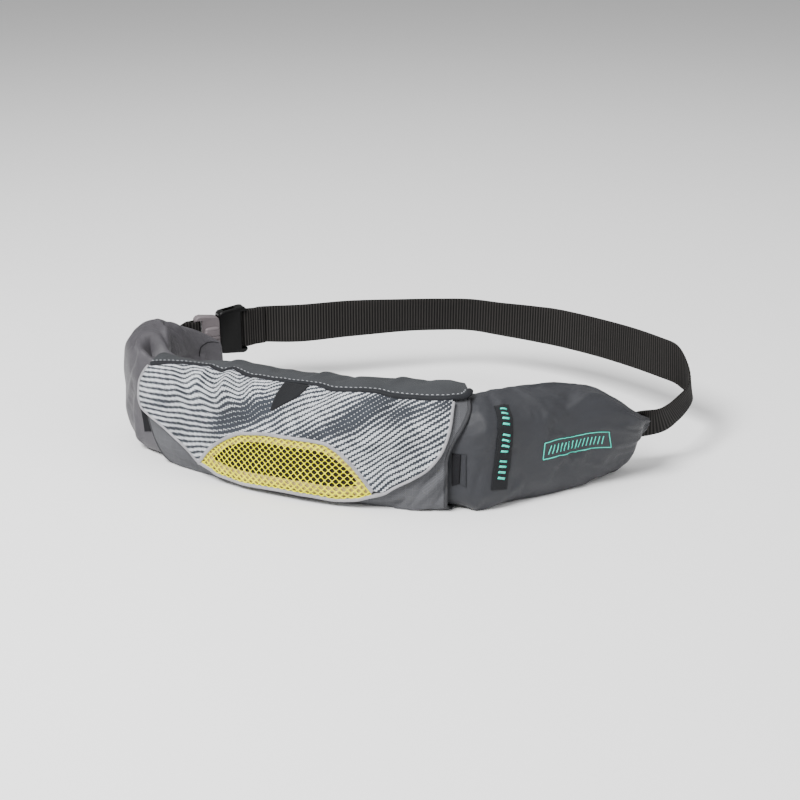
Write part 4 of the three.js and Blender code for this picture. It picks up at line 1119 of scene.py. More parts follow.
class PACK_OT_pouch(bpy.types.Operator):
    """Build the pouch with its bound edges"""
    bl_idname = "belt_pack.pouch"
    bl_label = "Pouch"

    def execute(self, context):
        cloth = context.scene.pack_cloth
        share = np.linspace(0, 1, POUCH_STEPS[0])
        angles = np.linspace(-90, 270, POUCH_STEPS[1] + 1)[:-1]
        share, around = np.meshgrid(share, angles, indexing="ij")
        at = blend(left_mouth(around), right_mouth(around), share)
        outer = skin(POUCH_BODY, at, around, 0)
        inner = skin(POUCH_BODY, at, around, -POUCH_WALL)
        rings = np.concatenate([outer, inner[::-1]])
        coords = cloth_mm(at, around)
        piece = tube_piece("pouch_cloth", rings, np.concatenate([coords, coords[::-1]]), closed=True)
        cloth_material = woven("pouch ripstop", tuple(cloth.pouch_color), 1.5, 5.5, 0.30, 0.66)
        paint(piece, cloth_material)
        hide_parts("pouch")
        hem_width = HEM_SHARE * POUCH_HEM_WIDTH
        seat = (hem_width / 2 - 0.2) / SPINE_LENGTH
        hem = tape("bound edge", lighter(tuple(cloth.pouch_color), 0.5))
        turns = np.arange(-90, 271, 5.0)
        for side, places in (("left", left_mouth(turns) - seat), ("right", right_mouth(turns) + seat)):
            rows = np.column_stack([places, turns])
            edge = cord_on_cloth(
                f"pouch_hem_{side}", POUCH_BODY, rows, hem_width, POUCH_WALL + 2 * GAP,
                -POUCH_WALL / 2, 180, 12, closed=True,
            )
            paint(edge, hem)
            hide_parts(f"pouch_edge_{side}")
        return {"FINISHED"}


CAP_SHARES = np.array([0.94, 0.8, 0.55, 0.25])
SETTLE_FRAMES = 12


def wing_piece(name, body, round_first, round_last):
    """Stuffed sleeve with rounded, closed ends."""
    count, sides = WING_STEPS
    stations = np.linspace(body["rows"][0, 0], body["rows"][-1, 0], count)
    angles = np.linspace(-90, 270, sides + 1)[:-1]
    at, around = np.meshgrid(stations, angles, indexing="ij")
    rings = skin(body, at, around, 0)
    coords = cloth_mm(at, around)
    parts, cloths = [rings], [coords]
    for end, beside, rounded in ((0, 1, round_first), (-1, -2, round_last)):
        middle = rings[end].mean(0)
        way = middle - rings[beside].mean(0)
        way = way / np.linalg.norm(way) * rounded * MM
        cap = np.array([
            middle + (rings[end] - middle) * share + way * math.sqrt(1 - share * share)
            for share in CAP_SHARES
        ])
        place = 0 if end == 0 else len(parts)
        parts.insert(place, cap[::-1] if end == 0 else cap)
        cloths.insert(place, np.array([coords[end]] * len(CAP_SHARES)))
    return tube_piece(name, np.concatenate(parts), np.concatenate(cloths))


def settle(piece, free, reach):
    """Lets a stuffed wing settle under its own pressure by up to reach, held where free is 0."""
    mesh = piece.data
    count = len(mesh.vertices)
    start = np.empty(count * 3)
    mesh.vertices.foreach_get("co", start)
    start = start.reshape(-1, 3)
    held = piece.vertex_groups.new(name="held")
    levels = np.round((1 - free) * 10) / 10
    for level in np.unique(levels):
        held.add(np.flatnonzero(levels == level).tolist(), float(level), "REPLACE")
    cloth = piece.modifiers.new("settling", "CLOTH")
    for key, value in (
        ("quality", 4), ("mass", 0.2), ("tension_stiffness", 25), ("compression_stiffness", 25),
        ("shear_stiffness", 8), ("bending_stiffness", 0.15), ("use_pressure", True),
        ("uniform_pressure_force", 1.8), ("shrink_min", -0.035), ("vertex_group_mass", "held"),
    ):
        setattr(cloth.settings, key, value)
    cloth.settings.effector_weights.gravity = 0
    cloth.collision_settings.use_collision = False
    scene = bpy.context.scene
    for step in range(SETTLE_FRAMES):
        scene.frame_set(step + 1)
    view = piece.evaluated_get(bpy.context.evaluated_depsgraph_get())
    after = np.empty(count * 3)
    view.data.vertices.foreach_get("co", after)
    moved = (after.reshape(-1, 3) - start) * free[:, None]
    size = np.linalg.norm(moved, axis=1, keepdims=True)
    moved *= np.minimum(1, reach * MM / np.maximum(size, 1e-9))
    moved[:, 2] = np.maximum(moved[:, 2], 0.0002 - start[:, 2])
    piece.modifiers.remove(cloth)
    scene.frame_set(1)
    mesh.vertices.foreach_set("co", (start + moved).ravel())
    mesh.update()
    return moved


class PACK_OT_wings(bpy.types.Operator):
    """Build the two stuffed wings"""
    bl_idname = "belt_pack.wings"
    bl_label = "Wings"

    def execute(self, context):
        cloth = context.scene.pack_cloth
        count, sides = WING_STEPS
        before = len(CAP_SHARES) * sides
        for side, body, color, ends, loose_from, loose_to, share in (
            ("left", LEFT_BODY, cloth.left_color, (2.0, 3.0), (0.010, 0.045), (0.225, 0.250), 1.0),
            ("right", RIGHT_BODY, cloth.right_color, (3.0, 1.0), (0.706, 0.735), (0.955, 0.990), 0.7),
        ):
            piece = wing_piece(f"{side}_wing_cloth", body, *ends)
            first, last = body["rows"][0, 0], body["rows"][-1, 0]
            stations = np.linspace(first, last, count)
            loose = smooth(*loose_from, stations) * (1 - smooth(*loose_to, stations))
            free = np.zeros(len(piece.data.vertices))
            free[before:before + count * sides] = np.repeat(loose, sides)
            moved = settle(piece, free, cloth.settle_reach * share)[before:before + count * sides]
            body["settled"] = (first, last, moved.reshape(count, sides, 3) / MM)
            rounder = piece.modifiers.new("even cloth", "SUBSURF")
            rounder.levels = rounder.render_levels = 1
            paint(piece, coated(f"{side} wing coated cloth", tuple(color)))
            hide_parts(f"{side}_wing")
        return {"FINISHED"}


def along_line(rows):
    """A cloth line as a function of the share of its length."""
    return lambda share: line_points(rows, share)


def edge_line(rows, first, last):
    """A cloth line as a function of a share that moves slowly near both ends."""
    table = rows[np.concatenate([[True], np.diff(rows[:, 0]) > 1e-4])]

    def line(share):
        eased = blend(share, (1 - np.cos(np.pi * share)) / 2, 0.7)
        at = blend(first, last, eased)
        return at, column(table, 1, at)

    return line


# Worn places in the print: centre and reach in cloth millimetres, then how much ink is lost
FADES = [
    (262, 21, 20, 12, 0.62), (243, 10, 13, 9, 0.50), (284, 30, 14, 8, 0.42), (328, 14, 24, 6, 0.40),
    (363, 37, 17, 10, 0.56), (392, 34, 17, 9, 0.56), (380, 48, 16, 7, 0.50), (350, 24, 16, 8, 0.46),
    (427, 44, 15, 8, 0.42), (172, 11, 16, 5, 0.24), (200, -4, 34, 12, 0.16), (302, 9, 16, 5, 0.30),
    (404, 8, 20, 8, 0.16),
]


def print_facts(at, around):
    """Where the stripes run and how strong the print is, at each point of the flap."""
    u, v = at * SPINE_LENGTH, around * GIRTH_STEP
    steeper = STEEPER_EASE * np.log1p(np.exp((u - STEEPER_FROM) / STEEPER_EASE))
    rise = STRIPE_SLOPE * (u - 150) + STEEPER_SLOPE * steeper
    middle = smooth(176, 200, u) * (1 - smooth(262, 300, u)) * smooth(4, 40, v)
    ripple = 2.4 * np.sin((u + 0.5 * v) / 4.7) * middle
    ripple += 1.1 * np.sin((u - 0.6 * v) / 5.1) * smooth(290, 320, u) * smooth(30, 48, v)
    drift = 2.2 * lattice_noise(u / 46, v / 60, 5) + 0.9 * lattice_noise(u / 19, v / 24, 9)
    ink = np.full(u.shape, INK)
    for along, turn, length, width, amount in FADES:
        slanted = (v - turn) - 0.45 * (u - along)
        ink -= amount * np.exp(-((u - along) / length) ** 2 - (slanted / width) ** 2)
    ink += 0.12 * lattice_noise(u / 13, v / 8, 21)
    return {"phase": v - rise + ripple + drift, "ink": np.clip(ink, 0, 1)}


class PACK_OT_flap(bpy.types.Operator):
    """Build the flap: its hood, printed front, binding, piping and top stitches"""
    bl_idname = "belt_pack.flap"
    bl_label = "Flap"

    def execute(self, context):
        cloth, flap = context.scene.pack_cloth, context.scene.pack_flap
        half = BINDING_WIDTH / 2 - 0.4
        hood_edge = shifted(BINDING_LINE, half)
        hood_back = np.column_stack([hood_edge[:, 0], np.full(len(hood_edge), FLAP_BACK_AROUND)])
        hood = sheet_piece(
            "flap_hood", along_line(hood_edge), along_line(hood_back), HOOD_STEPS, FLAP_IN, FLAP_OUT,
        )
        paint(hood, woven("hood cloth", tuple(cloth.hood_color), 1.6, None, 0.34, 0.7))
        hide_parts("flap_top")
        binding = cord_on_cloth(
            "flap_bound_edge", POUCH_BODY, BINDING_LINE, BINDING_WIDTH, FLAP_CLOTH + 2.4,
            FLAP_MIDDLE + 0.3, 300, 16,
        )
        paint(binding, tape("binding tape", tuple(flap.binding_color)))
        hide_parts("flap_binding")
        stitches = stitch_row("hood_stitches", shifted(BINDING_LINE, BINDING_WIDTH / 2 + STITCH_GAP))
        thread = tape("pale thread", tuple(flap.stitch_color))
        paint(stitches, thread)
        edge_stitches = stitch_row("hood_back_stitches", BACK_STITCHES)
        paint(edge_stitches, thread)

        net_edge = shifted(NET_HIGH, FLAT_PIPING_WIDTH / 2 - 0.6, 40)
        low_rows = np.vstack([FLAP_LEFT[3:], net_edge, FLAP_RIGHT])
        low_rows = low_rows[np.argsort(low_rows[:, 0])]
        top = shifted(BINDING_LINE, -half)
        left = np.array(FLAP_LEFT[:4][::-1], float)
        top_rows = np.vstack([left, top[top[:, 0] > left[-1, 0] + 0.002]])
        first, last = FLAP_LEFT[3][0], FLAP_RIGHT[-1][0]

        front = sheet_piece(
            "flap_front", edge_line(low_rows, first, last), edge_line(top_rows, first, last),
            FRONT_STEPS, FLAP_IN, FLAP_OUT, print_facts,
        )
        paint(front, printed("printed cloth", flap))
        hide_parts("flap_panel")
        edge = np.vstack([FLAP_LEFT, NET_LOW, FLAP_RIGHT])
        piping = cord_on_cloth(
            "flap_edge_piping", POUCH_BODY, shifted(edge, -(0.4 * PIPING_WIDTH - 0.2), 110),
            0.8 * PIPING_WIDTH, PIPING_WIDTH, FLAP_MIDDLE + 0.2, 420, 12,
        )
        pale = tape("pale piping", tuple(flap.piping_color), 0.5, 1.1)
        paint(piping, pale)
        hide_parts("flap_piping")
        net_piping = cord_on_cloth(
            "net_edge_piping", POUCH_BODY, NET_HIGH, FLAT_PIPING_WIDTH - 0.4, 0.9 * PIPING_WIDTH,
            FLAP_MIDDLE + 0.3, 260, 12,
        )
        paint(net_piping, pale)
        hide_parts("net_piping")
        return {"FINISHED"}


def net_outline():
    """Lower and upper edge of the net, as degrees round for a share of the spine, and its ends."""
    low = np.array([FLAP_LEFT[-1]] + NET_LOW + [FLAP_RIGHT[0]], float)
    high = shifted(NET_HIGH, -(FLAT_PIPING_WIDTH / 2 - 0.5), 60)
    high = high[np.concatenate([[True], np.diff(high[:, 0]) > 1e-5])]
    return (lambda at: column(low, 1, at)), (lambda at: column(high, 1, at)), high[0, 0], high[-1, 0]


def net_cells(settings):
    """Corner points of a net's diamond cells, and the cells, each with whether it is inside the border."""
    low, high, first, last = net_outline()
    step_u, step_v = settings.cell_width / 2, settings.cell_height / 2
    v_low = -46 * GIRTH_STEP
    points, index, cells = [], {}, []

    def corner(i, j):
        if (i, j) not in index:
            index[(i, j)] = len(points)
            at = np.clip(first + i * step_u / SPINE_LENGTH, first, last)
            around = np.clip((v_low + j * step_v) / GIRTH_STEP, low(at), max(high(at), low(at) + 0.4))
            points.append((float(at), float(around)))
        return index[(i, j)]

    across = int((last - first) * SPINE_LENGTH / step_u) + 2
    up = int((12 * GIRTH_STEP - v_low) / step_v) + 2
    for i in range(-1, across):
        for j in range(-1, up):
            if (i + j) % 2:
                continue
            u = first * SPINE_LENGTH + i * step_u
            v = v_low + j * step_v
            at = u / SPINE_LENGTH
            if not first - 0.002 <= at <= last + 0.002:
                continue
            above = v - low(at) * GIRTH_STEP
            below = high(at) * GIRTH_STEP - v
            if min(above, below) < -0.45 * settings.cell_height:
                continue
            end = min(at - first, last - at) * SPINE_LENGTH
            border = min(above - NET_BORDER_LOW, below - NET_BORDER_HIGH, end - NET_BORDER_END)
            corners = corner(i - 1, j), corner(i, j - 1), corner(i + 1, j), corner(i, j + 1)
            cells.append((corners, border > 0))
    return np.array(points), cells


def net_mesh(points, cells, middle):
    """Places, offsets and faces of a net with a round hole in each cell."""
    thick = NET_THICKNESS
    places, offsets, faces, edges = [], [], [], {}

    def add(uv, offset):
        places.append(uv)
        offsets.append(offset)
        return len(places) - 1

    tops = [add(p, middle + thick / 2) for p in points]
    bottoms = [add(p, middle - thick / 2) for p in points]
    for corners, inside in cells:
        centre = points[list(corners)].mean(0)
        share = 0.98 if inside else 0.80
        top, mid, low = [], [], []
        for k in range(8):
            a, b = points[corners[k // 2]], points[corners[(k // 2 + 1) % 4]]
            p = (a + b) / 2 if k % 2 else a
            pull = share * (1.0 if k % 2 else 0.90)
            inner = centre + (p - centre) * pull
            top.append(add(inner, middle + thick * 0.36))
            mid.append(add(centre + (p - centre) * pull * 0.94, middle))
            low.append(add(inner, middle - thick * 0.36))
        for k in range(4):
            a, b = corners[k], corners[(k + 1) % 4]
            h0, h1, h2 = 2 * k, 2 * k + 1, (2 * k + 2) % 8
            key = (min(a, b), max(a, b))
            if key not in edges:
                half = (points[a] + points[b]) / 2
                edges[key] = [add(half, middle + thick / 2 + 0.08), add(half, middle - thick / 2), 0]
            edges[key][2] += 1
            mt, mb = edges[key][:2]
            faces += [(tops[a], mt, top[h1], top[h0]), (mt, tops[b], top[h2], top[h1])]
            faces += [(bottoms[a], low[h0], low[h1], mb), (mb, low[h1], low[h2], bottoms[b])]
            for p, q in ((h0, h1), (h1, h2)):
                faces += [(top[p], top[q], mid[q], mid[p]), (mid[p], mid[q], low[q], low[p])]
    for (a, b), (mt, mb, uses) in edges.items():
        if uses == 1:
            faces += [(tops[a], bottoms[a], mb, mt), (mt, mb, bottoms[b], tops[b])]
    return np.array(places), np.array(offsets), faces


class PACK_OT_net(bpy.types.Operator):
    """Build the net pocket: an open net of diamond cells over its lining, whose dark colour is partly
    painted shade inside the pocket
    """
    bl_idname = "belt_pack.net"
    bl_label = "Net pocket"

    def execute(self, context):
        settings = context.scene.pack_net
        places, offsets, faces = net_mesh(*net_cells(settings), FLAP_MIDDLE + 0.1)
        verts = skin(POUCH_BODY, places[:, 0], places[:, 1], offsets)
        net = make_piece("pocket_net", verts, faces, cloth_mm(places[:, 0], places[:, 1]))
        clean_shell(net)
        rounder = net.modifiers.new("round strands", "SUBSURF")
        rounder.levels = rounder.render_levels = 1
        paint(net, net_finish("yellow net", tuple(settings.net_color)))
        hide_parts("net_panel")

        low, high, first, last = net_outline()

        def low_line(share):
            at = blend(first, last, share)
            return at, low(at)

        def high_line(share):
            at = blend(first, last, share)
            return at, np.maximum(high(at), low(at) + 0.5)

        def rim_facts(at, around):
            above = (around - low(at)) * GIRTH_STEP - RIM_LOW
            below = (high(at) - around) * GIRTH_STEP - RIM_HIGH
            ends = np.minimum(at - first, last - at) * SPINE_LENGTH - RIM_END
            return {"rim": smooth(0.8, -0.8, np.minimum(np.minimum(above, below), ends))}

        # Lining behind the net: its dark colour is partly the lining's cloth and partly painted shade inside
        # the pocket.
        lining_and_shade = sheet_piece(
            "pocket_lining_and_shade", low_line, high_line, LINING_STEPS, 0.5, 1.2, rim_facts,
        )
        # dark is the lining colour, which also carries painted shade of the pocket's inside.
        dark, tan = tuple(settings.lining_and_shade_color), tuple(settings.facing_color)
        paint(lining_and_shade, lining_and_shade_finish("pocket lining and shade", dark, tan))
        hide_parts("net_lining")
        return {"FINISHED"}


def clean_shell(piece):
    """Merges doubled points, drops flat faces and turns the rest outward."""
    work = bmesh.new()
    work.from_mesh(piece.data)
    bmesh.ops.remove_doubles(work, verts=work.verts, dist=2e-5)
    bmesh.ops.dissolve_degenerate(work, edges=work.edges, dist=1e-5)
    bmesh.ops.recalc_face_normals(work, faces=work.faces)
    work.to_mesh(piece.data)
    work.free()
    piece.data.polygons.foreach_set("use_smooth", [True] * len(piece.data.polygons))
    piece.data.update()


def patch_piece(name, body, left, right, offset, thick, columns, rows):
    """Small cloth patch whose edges turn down to the cloth below."""
    share = np.linspace(0, 1, rows + 1)
    a_at, a_round = line_points(left, share)
    b_at, b_round = line_points(right, share)
    t = np.linspace(0, 1, columns + 1)[None, :]
    at = blend(a_at[:, None], b_at[:, None], t)
    around = blend(a_round[:, None], b_round[:, None], t)
    ends = np.minimum(share, share[::-1])[:, None] * rows / 2.0
    rim = np.minimum(ends, np.minimum(t, 1 - t) * columns / 2.0)
    lift = thick * (0.55 + 0.45 * np.clip(rim, 0, 1))
    return shell_grid(
        skin(body, at, around, offset + lift), skin(body, at, around, offset), name, cloth_mm(at, around),
    )


class PACK_OT_patches(bpy.types.Operator):
    """Build the bare tab and label, the hook tapes and the plain accent lines"""
    bl_idname = "belt_pack.patches"
    bl_label = "Patches"

    def execute(self, context):
        marks, cloth = context.scene.pack_marks, context.scene.pack_cloth
        dark = woven("dark patch", tuple(marks.patch_color), 0.9, None, 0.3, 0.8)
        tab = patch_piece("flap_tab", POUCH_BODY, TAB_LEFT, TAB_RIGHT, STITCH_SEAT, 1.0, 24, 30)
        paint(tab, dark)
        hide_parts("tab")
        label = patch_piece("wing_label", RIGHT_BODY, LABEL_LEFT, LABEL_RIGHT, 0.25, 1.1, 20, 90)
        paint(label, dark)
        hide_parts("label")
        hook = hooks("hook tape", tuple(marks.hook_color))
        grey = woven("grey backing", tuple(cloth.edge_color), 1.1, None, 0.3, 0.75)
        right_hooks = RIGHT_HOOK_LEFT, RIGHT_HOOK_RIGHT
        left_hooks = LEFT_HOOK_LEFT, LEFT_HOOK_RIGHT
        backing = [(at + GAP / SPINE_LENGTH, around) for at, around in RIGHT_HOOK_RIGHT], RIGHT_BACKING_RIGHT
        for name, node, body, edges, finish, slot in (
            ("right_hooks", "right_hook_tape", RIGHT_BODY, right_hooks, hook, "hook_tape"),
            ("right_backing", "right_hook_backing", RIGHT_BODY, backing, grey, "edge_tape"),
            ("left_hooks", "left_hook_tape", LEFT_BODY, left_hooks, hook, "hook_tape"),
        ):
            piece = patch_piece(name, body, *edges, 0.15, 1.2, 12, 36)
            paint(piece, finish)
            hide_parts(node)

        seam = cord_on_cloth("left_wing_seam", LEFT_BODY, WING_SEAM, 1.1, 0.8, 0.2, 60, 8)
        paint(seam, tape("seam thread", tuple(marks.patch_color)))
        accent = tape("accent print", tuple(marks.accent_color), 0.6)
        frame_corners = np.array(FRAME_MARK, float)
        parts = []
        for k in (3, 2, 1, 0):
            parts.append(accent_line(frame_corners[[k, k - 1]], 0.1, 0.75))
        for k in range(15):
            across = 0.07 + k * 0.058
            rows = within(frame_corners, [(across, 0.24), (across + 0.035, 0.74)])
            parts.append(accent_line(rows, 0.1, 0.85))
        outline = join_parts("wing_outline", parts)
        paint(outline, accent)
        label_corners = np.array([LABEL_LEFT[0], LABEL_RIGHT[0], LABEL_RIGHT[1], LABEL_LEFT[1]], float)
        parts = []
        for k in range(12):
            up = 0.93 - k * 0.062 - (k // 4) * 0.055
            parts.append(accent_line(within(label_corners, [(0.28, up), (0.74, up - 0.012)]), 1.35, 1.7))
        label_bars = join_parts("label_bars", parts)
        paint(label_bars, accent)
        return {"FINISHED"}


def within(corners, shares):
    """Places in a four-sided figure, as shares across and up from its first corner."""
    low_left, low_right, high_right, high_left = corners
    return np.array([
        blend(blend(low_left, low_right, across), blend(high_left, high_right, across), up)
        for across, up in shares
    ])


def accent_line(rows, offset, width):
    """Thin printed line on the right wing: its points and faces."""
    steps = max(4, int(line_length(rows) / 1.5))
    at, around = line_points(rows, np.linspace(0, 1, steps + 1))
    sa, sr = side_way(at, around)
    side = np.array([-0.5, 0.5])[None, :] * width
    place, turn = at[:, None] + sa[:, None] * side, around[:, None] + sr[:, None] * side
    top = skin(RIGHT_BODY, place, turn, offset + 0.22)
    base = skin(RIGHT_BODY, place, turn, offset - 0.1)
    ring = np.stack([top[:, 0], top[:, 1], base[:, 1], base[:, 0]], 1)
    count = len(ring)
    faces = quads(count, 4) + [(3, 2, 1, 0), tuple((count - 1) * 4 + k for k in range(4))]
    return ring.reshape(-1, 3), faces


def loop_place(across, depth, height):
    """Millimetres for shares of the loop's width and depth and the pack's height."""
    return np.array([across * LOOP_WIDTH, depth * LOOP_DEPTH, height * PACK_HEIGHT])


def buckle_matrix():
    """Turn and place of the buckle's own frame."""
    angle = math.radians(BUCKLE["turn"])
    c, s = math.cos(angle), math.sin(angle)
    turn = np.array([[c, -s, 0], [s, c, 0], [0, 0, 1]])
    return turn, loop_place(BUCKLE["across"], BUCKLE["depth"], BUCKLE["height"])


def bar_loop(bar_x, away, tail):
    """Centres of webbing that loops round a buckle's bar."""
    close = (STRAP_THICKNESS + GAP) / 2
    turn = BUCKLE_BAR / 2 + GAP + STRAP_THICKNESS / 2
    profile = [
        (tail, -close), (tail * 0.55, -close), (turn * 2, -turn * 0.72), (turn * 0.6, -turn),
        (-turn * 0.7, -turn * 0.75), (-turn, 0), (-turn * 0.7, turn * 0.75), (turn * 0.6, turn),
        (turn * 2, turn * 0.72), (tail * 0.55, close), (tail, close),
    ]
    matrix, origin = buckle_matrix()
    return [matrix @ np.array([bar_x + away * out, side, 0.0]) + origin for out, side in profile]


def unit(ways):
    return ways / np.linalg.norm(ways, axis=-1, keepdims=True)


def webbing_piece(name, centres, ways, settings):
    """Ribbed webbing along a route, its ribs across its width."""
    count = (len(centres) - 1) * 60
    route = catmull(np.array(centres), count, False)
    width_way = catmull(np.array(ways), count, False)
    steps = np.linalg.norm(np.diff(route, axis=0), axis=1)
    way = np.concatenate([[0], np.cumsum(steps)])
    stations = np.arange(0, way[-1], settings.rib_pitch / 4)
    centre = np.stack([np.interp(stations, way, route[:, k]) for k in range(3)], -1)
    wide = unit(np.stack([np.interp(stations, way, width_way[:, k]) for k in range(3)], -1))
    thick = unit(np.cross(unit(np.gradient(centre, axis=0)), wide))
    across = np.array([-0.5, -0.485, -0.44, -0.3, -0.1, 0.1, 0.3, 0.44, 0.485, 0.5])
    shape = np.array([0.35, 0.8, 1, 1, 1, 1, 1, 1, 0.8, 0.35])
    rib = 0.5 + 0.5 * np.cos(2 * np.pi * stations / settings.rib_pitch)
    rise = settings.rib_height * (rib[:, None] - 0.6) * np.clip(shape * 2 - 1, 0, 1)[None, :]
    half = STRAP_THICKNESS / 2 * shape[None, :] + rise
    sway = 0.25 * lattice_noise(stations / 37, np.zeros(len(stations)), 4)
    flat = centre[:, None] + wide[:, None] * (across * STRAP_WIDTH)[None, :, None]
    front = flat + thick[:, None] * (half + sway[:, None])[..., None]
    back = flat - thick[:, None] * (half - sway[:, None])[..., None]
    rings = row_frame(np.concatenate([front, back[:, ::-1]], 1))
    v = np.concatenate([across, across[::-1] + 2]) * STRAP_WIDTH
    cloth = np.stack(np.broadcast_arrays(stations[:, None], v[None, :]), -1)
    # The rib fact also drives the painted highlight on the rib crests in the webbing's material.
    ribs = np.repeat(rib, rings.shape[1])
    return tube_piece(name, rings, cloth, facts={"rib": np.concatenate([ribs, [0, 0]])})


class PACK_OT_webbing(bpy.types.Operator):
    """Build the ribbed strap and the stub at the left wing"""
    bl_idname = "belt_pack.webbing"
    bl_label = "Webbing"

    def execute(self, context):
        settings = context.scene.pack_webbing
        finish = ribbed("strap webbing", tuple(settings.strap_color))
        centres = bar_loop(FEMALE_LENGTH - BUCKLE_BAR / 2, 1, STRAP_TAIL)
        ways = [(0, 0, 1)] * len(centres)
        for across, depth, height, lean_x, lean_y in STRAP_ROUTE:
            centres.append(loop_place(across, depth, height))
            ways.append(np.array([lean_x, lean_y, 1]) / math.sqrt(1 + lean_x ** 2 + lean_y ** 2))
        seat = 3 * GAP + STRAP_THICKNESS / 2
        for at in STRAP_SEAT:
            lean = float(column(LEAN, 1, at))
            way = SPINE_ROUTE.along(at)
            centres.append(raw_skin(RIGHT_BODY, at, 180, seat * math.hypot(1, lean), relief=False))
            upper = np.array([way[1] * lean, -way[0] * lean, 1])
            ways.append(upper / np.linalg.norm(upper))
        strap = webbing_piece("strap_webbing", centres, ways, settings)
        paint(strap, finish)
        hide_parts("strap")

        loop = bar_loop(-(MALE_LENGTH - BUCKLE_BAR / 2), -1, STRAP_TAIL / 2)
        centres = [point + PRONG_SHIFT for point in loop]
        seat = 5 * GAP + STRAP_THICKNESS / 2
        for i, at in enumerate(reversed(STUB_SEAT)):
            point = raw_skin(LEFT_BODY, at, 0, seat, relief=False)
            share = (i + 1) / len(STUB_SEAT)
            point[2] = blend(BUCKLE["height"] * PACK_HEIGHT, STUB_HEIGHT * PACK_HEIGHT, share)
            centres.append(point)
        stub = webbing_piece("stub_webbing", centres, [(0, 0, 1)] * len(centres), settings)
        paint(stub, finish)
        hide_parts("strap_stub")
        return {"FINISHED"}


def ridge(height, count=14, sides=12):
    """Rounded ridge along the front of the prong half: its points and faces."""
    turn, origin = buckle_matrix()
    ways = np.linspace(RIDGE_FROM, RIDGE_TO, count)
    swell = np.sqrt(np.clip(1 - np.abs((ways - RIDGE_MIDDLE) / RIDGE_HALF) ** 4, 0.02, 1))[:, None]
    angles = np.linspace(0, 2 * np.pi, sides + 1)[:-1]
    ring = np.stack([
        np.broadcast_to(ways[:, None], (count, sides)),
        RIDGE_SEAT + RIDGE_DEPTH * swell * np.sin(angles)[None, :],
        height + RIDGE_WIDTH * swell * np.cos(angles)[None, :],
    ], -1)
    points = row_frame(ring @ turn.T + origin + PRONG_SHIFT)
    ends = [tuple(range(sides)), tuple((count - 1) * sides + k for k in range(sides))]
    return points.reshape(-1, 3), quads(count, sides) + ends


class PACK_OT_buckle(bpy.types.Operator):
    """Finish the two halves of the side-release buckle"""
    bl_idname = "belt_pack.buckle"
    bl_label = "Buckle"

    def execute(self, context):
        settings = context.scene.pack_buckle
        for name, node, color, slot in (
            ("buckle_socket", "buckle_female", settings.socket_color, "dark_buckle"),
            ("buckle_prongs", "buckle_male", settings.prong_color, "mauve_buckle"),
        ):
            piece = frame["nodes"][node].copy()
            piece.data = frame["nodes"][node].data.copy()
            piece.name = name
            piece.parent = None
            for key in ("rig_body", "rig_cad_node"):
                if key in piece:
                    del piece[key]
            context.scene.collection.objects.link(piece)
            clean_shell(piece)
            if node == "buckle_male":
                for vertex in piece.data.vertices:
                    vertex.co = vertex.co + Vector(PRONG_SHIFT * MM)
            soft = piece.modifiers.new("soft edges", "BEVEL")
            soft.width = settings.edge_radius
            soft.segments = 3
            soft.limit_method = "ANGLE"
            soft.angle_limit = math.radians(28)
            soft.harden_normals = True
            paint(piece, moulded(name.replace("_", " "), tuple(color)))
            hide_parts(node)
        ridges = join_parts("prong_ridges", [ridge(height) for height in RIDGE_HEIGHTS])
        paint(ridges, moulded("prong ridges", tuple(settings.prong_color)))
        return {"FINISHED"}


# Stage, in metres, then the camera: what it looks at in millimetres, its sensor and its focal
# length in pixels of a picture that is VIEW_PIXELS wide
FLOOR_SIZE = 12.0
WORLD_LIGHT = 0.42
LIGHT_AIM = (0, 0, 0.05)
VIEW_CENTRE = (0, 56, 55)
SENSOR_WIDTH = 36
VIEW_FOCUS = 1450
VIEW_PIXELS = 800


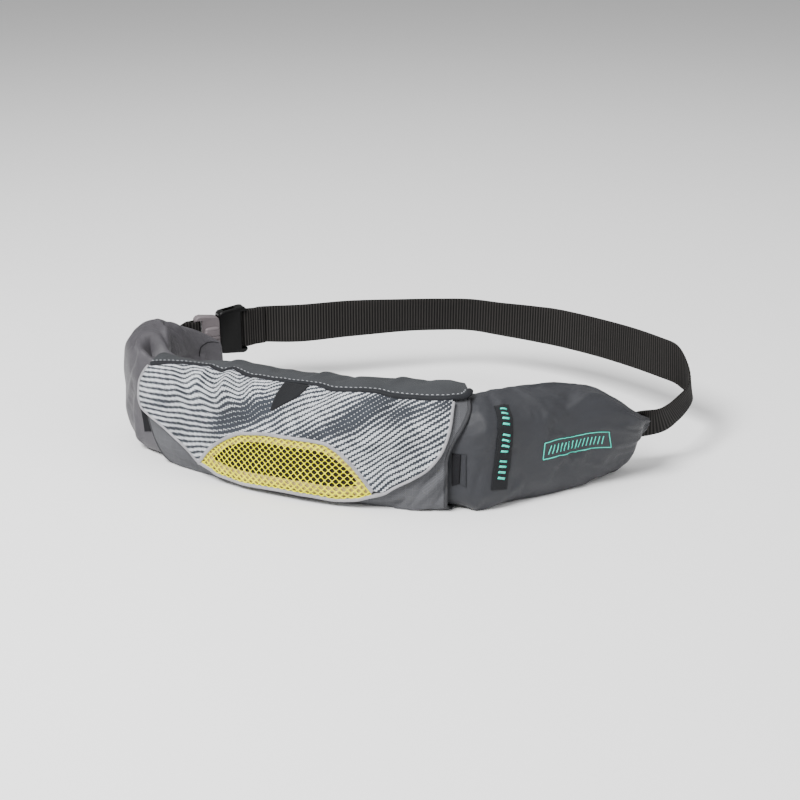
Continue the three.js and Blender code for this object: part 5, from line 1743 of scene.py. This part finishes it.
class PACK_OT_stage(bpy.types.Operator):
    """Set the pale floor, the soft lights and the camera"""
    bl_idname = "belt_pack.stage"
    bl_label = "Stage"

    def execute(self, context):
        settings = context.scene.pack_stage
        scene = context.scene
        reach = FLOOR_SIZE / 2
        verts = np.array([(-reach, -reach, 0), (reach, -reach, 0), (reach, reach, 0), (-reach, reach, 0)])
        floor = make_piece("floor", verts, [(0, 1, 2, 3)], np.zeros((4, 2)), None, False)
        finish = Finish("pale floor", 0.9, 0.0, 0.1)
        finish.color(tuple(settings.floor_color))
        floor.data.materials.append(finish.material)
        world = bpy.data.worlds.new("soft studio")
        world.use_nodes = True
        background = world.node_tree.nodes["Background"]
        background.inputs[0].default_value = (1, 1, 1, 1)
        background.inputs[1].default_value = WORLD_LIGHT
        scene.world = world
        for name, place, size, power in (
            ("key", (-0.9, -1.0, 1.7), 0.8, settings.key_power),
            ("fill", (1.5, -0.7, 1.1), 1.6, settings.fill_power),
            ("top", (0.1, 0.7, 2.0), 1.6, settings.fill_power),
        ):
            data = bpy.data.lights.new(name, "AREA")
            data.energy = power
            data.size = size
            lamp = bpy.data.objects.new(name, data)
            lamp.location = place
            way = np.array(LIGHT_AIM) - np.array(place)
            lamp.rotation_euler = (
                math.atan2(math.hypot(way[0], way[1]), -way[2]), 0, math.atan2(-way[0], way[1]),
            )
            scene.collection.objects.link(lamp)
        pitch, distance = settings.view_pitch, settings.view_distance
        centre = row_frame(VIEW_CENTRE)
        data = bpy.data.cameras.new("camera")
        data.sensor_width = SENSOR_WIDTH
        data.lens = SENSOR_WIDTH * VIEW_FOCUS / VIEW_PIXELS
        camera = bpy.data.objects.new("camera", data)
        camera.location = centre + np.array([0, -distance * math.cos(pitch), distance * math.sin(pitch)])
        camera.rotation_euler = (math.pi / 2 - pitch, 0, 0)
        scene.collection.objects.link(camera)
        scene.camera = camera
        return {"FINISHED"}


class PACK_PT_panel(bpy.types.Panel):
    """Lists the pieces of the belt pack"""
    bl_label = "Belt Pack"
    bl_idname = "PACK_PT_panel"
    bl_space_type = "VIEW_3D"
    bl_region_type = "UI"
    bl_category = "Belt Pack"

    def draw(self, context):
        for key, group in SETTINGS.items():
            box = self.layout.box()
            box.label(text=group.__name__.replace("Settings", ""))
            for name in group.__annotations__:
                box.prop(getattr(context.scene, key), name)
        for operator in OPERATORS:
            self.layout.operator(operator.bl_idname)


SETTINGS = {
    "pack_cloth": ClothSettings,
    "pack_flap": FlapSettings,
    "pack_net": NetSettings,
    "pack_webbing": WebbingSettings,
    "pack_buckle": BuckleSettings,
    "pack_marks": MarkSettings,
    "pack_stage": StageSettings,
}
OPERATORS = (
    PACK_OT_stage, PACK_OT_wings, PACK_OT_pouch, PACK_OT_flap, PACK_OT_net, PACK_OT_patches,
    PACK_OT_buckle, PACK_OT_webbing,
)


def register():
    for group in (*SETTINGS.values(), *OPERATORS, PACK_PT_panel):
        bpy.utils.register_class(group)
    for key, group in SETTINGS.items():
        setattr(bpy.types.Scene, key, PointerProperty(type=group))


def unregister():
    for key in SETTINGS:
        delattr(bpy.types.Scene, key)
    for group in reversed((*SETTINGS.values(), *OPERATORS, PACK_PT_panel)):
        bpy.utils.unregister_class(group)


def main():
    """Builds every piece."""
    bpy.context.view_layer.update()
    register()
    for operator in OPERATORS:
        family, name = operator.bl_idname.split(".")
        getattr(getattr(bpy.ops, family), name)()


if __name__ == "__main__":
    main()
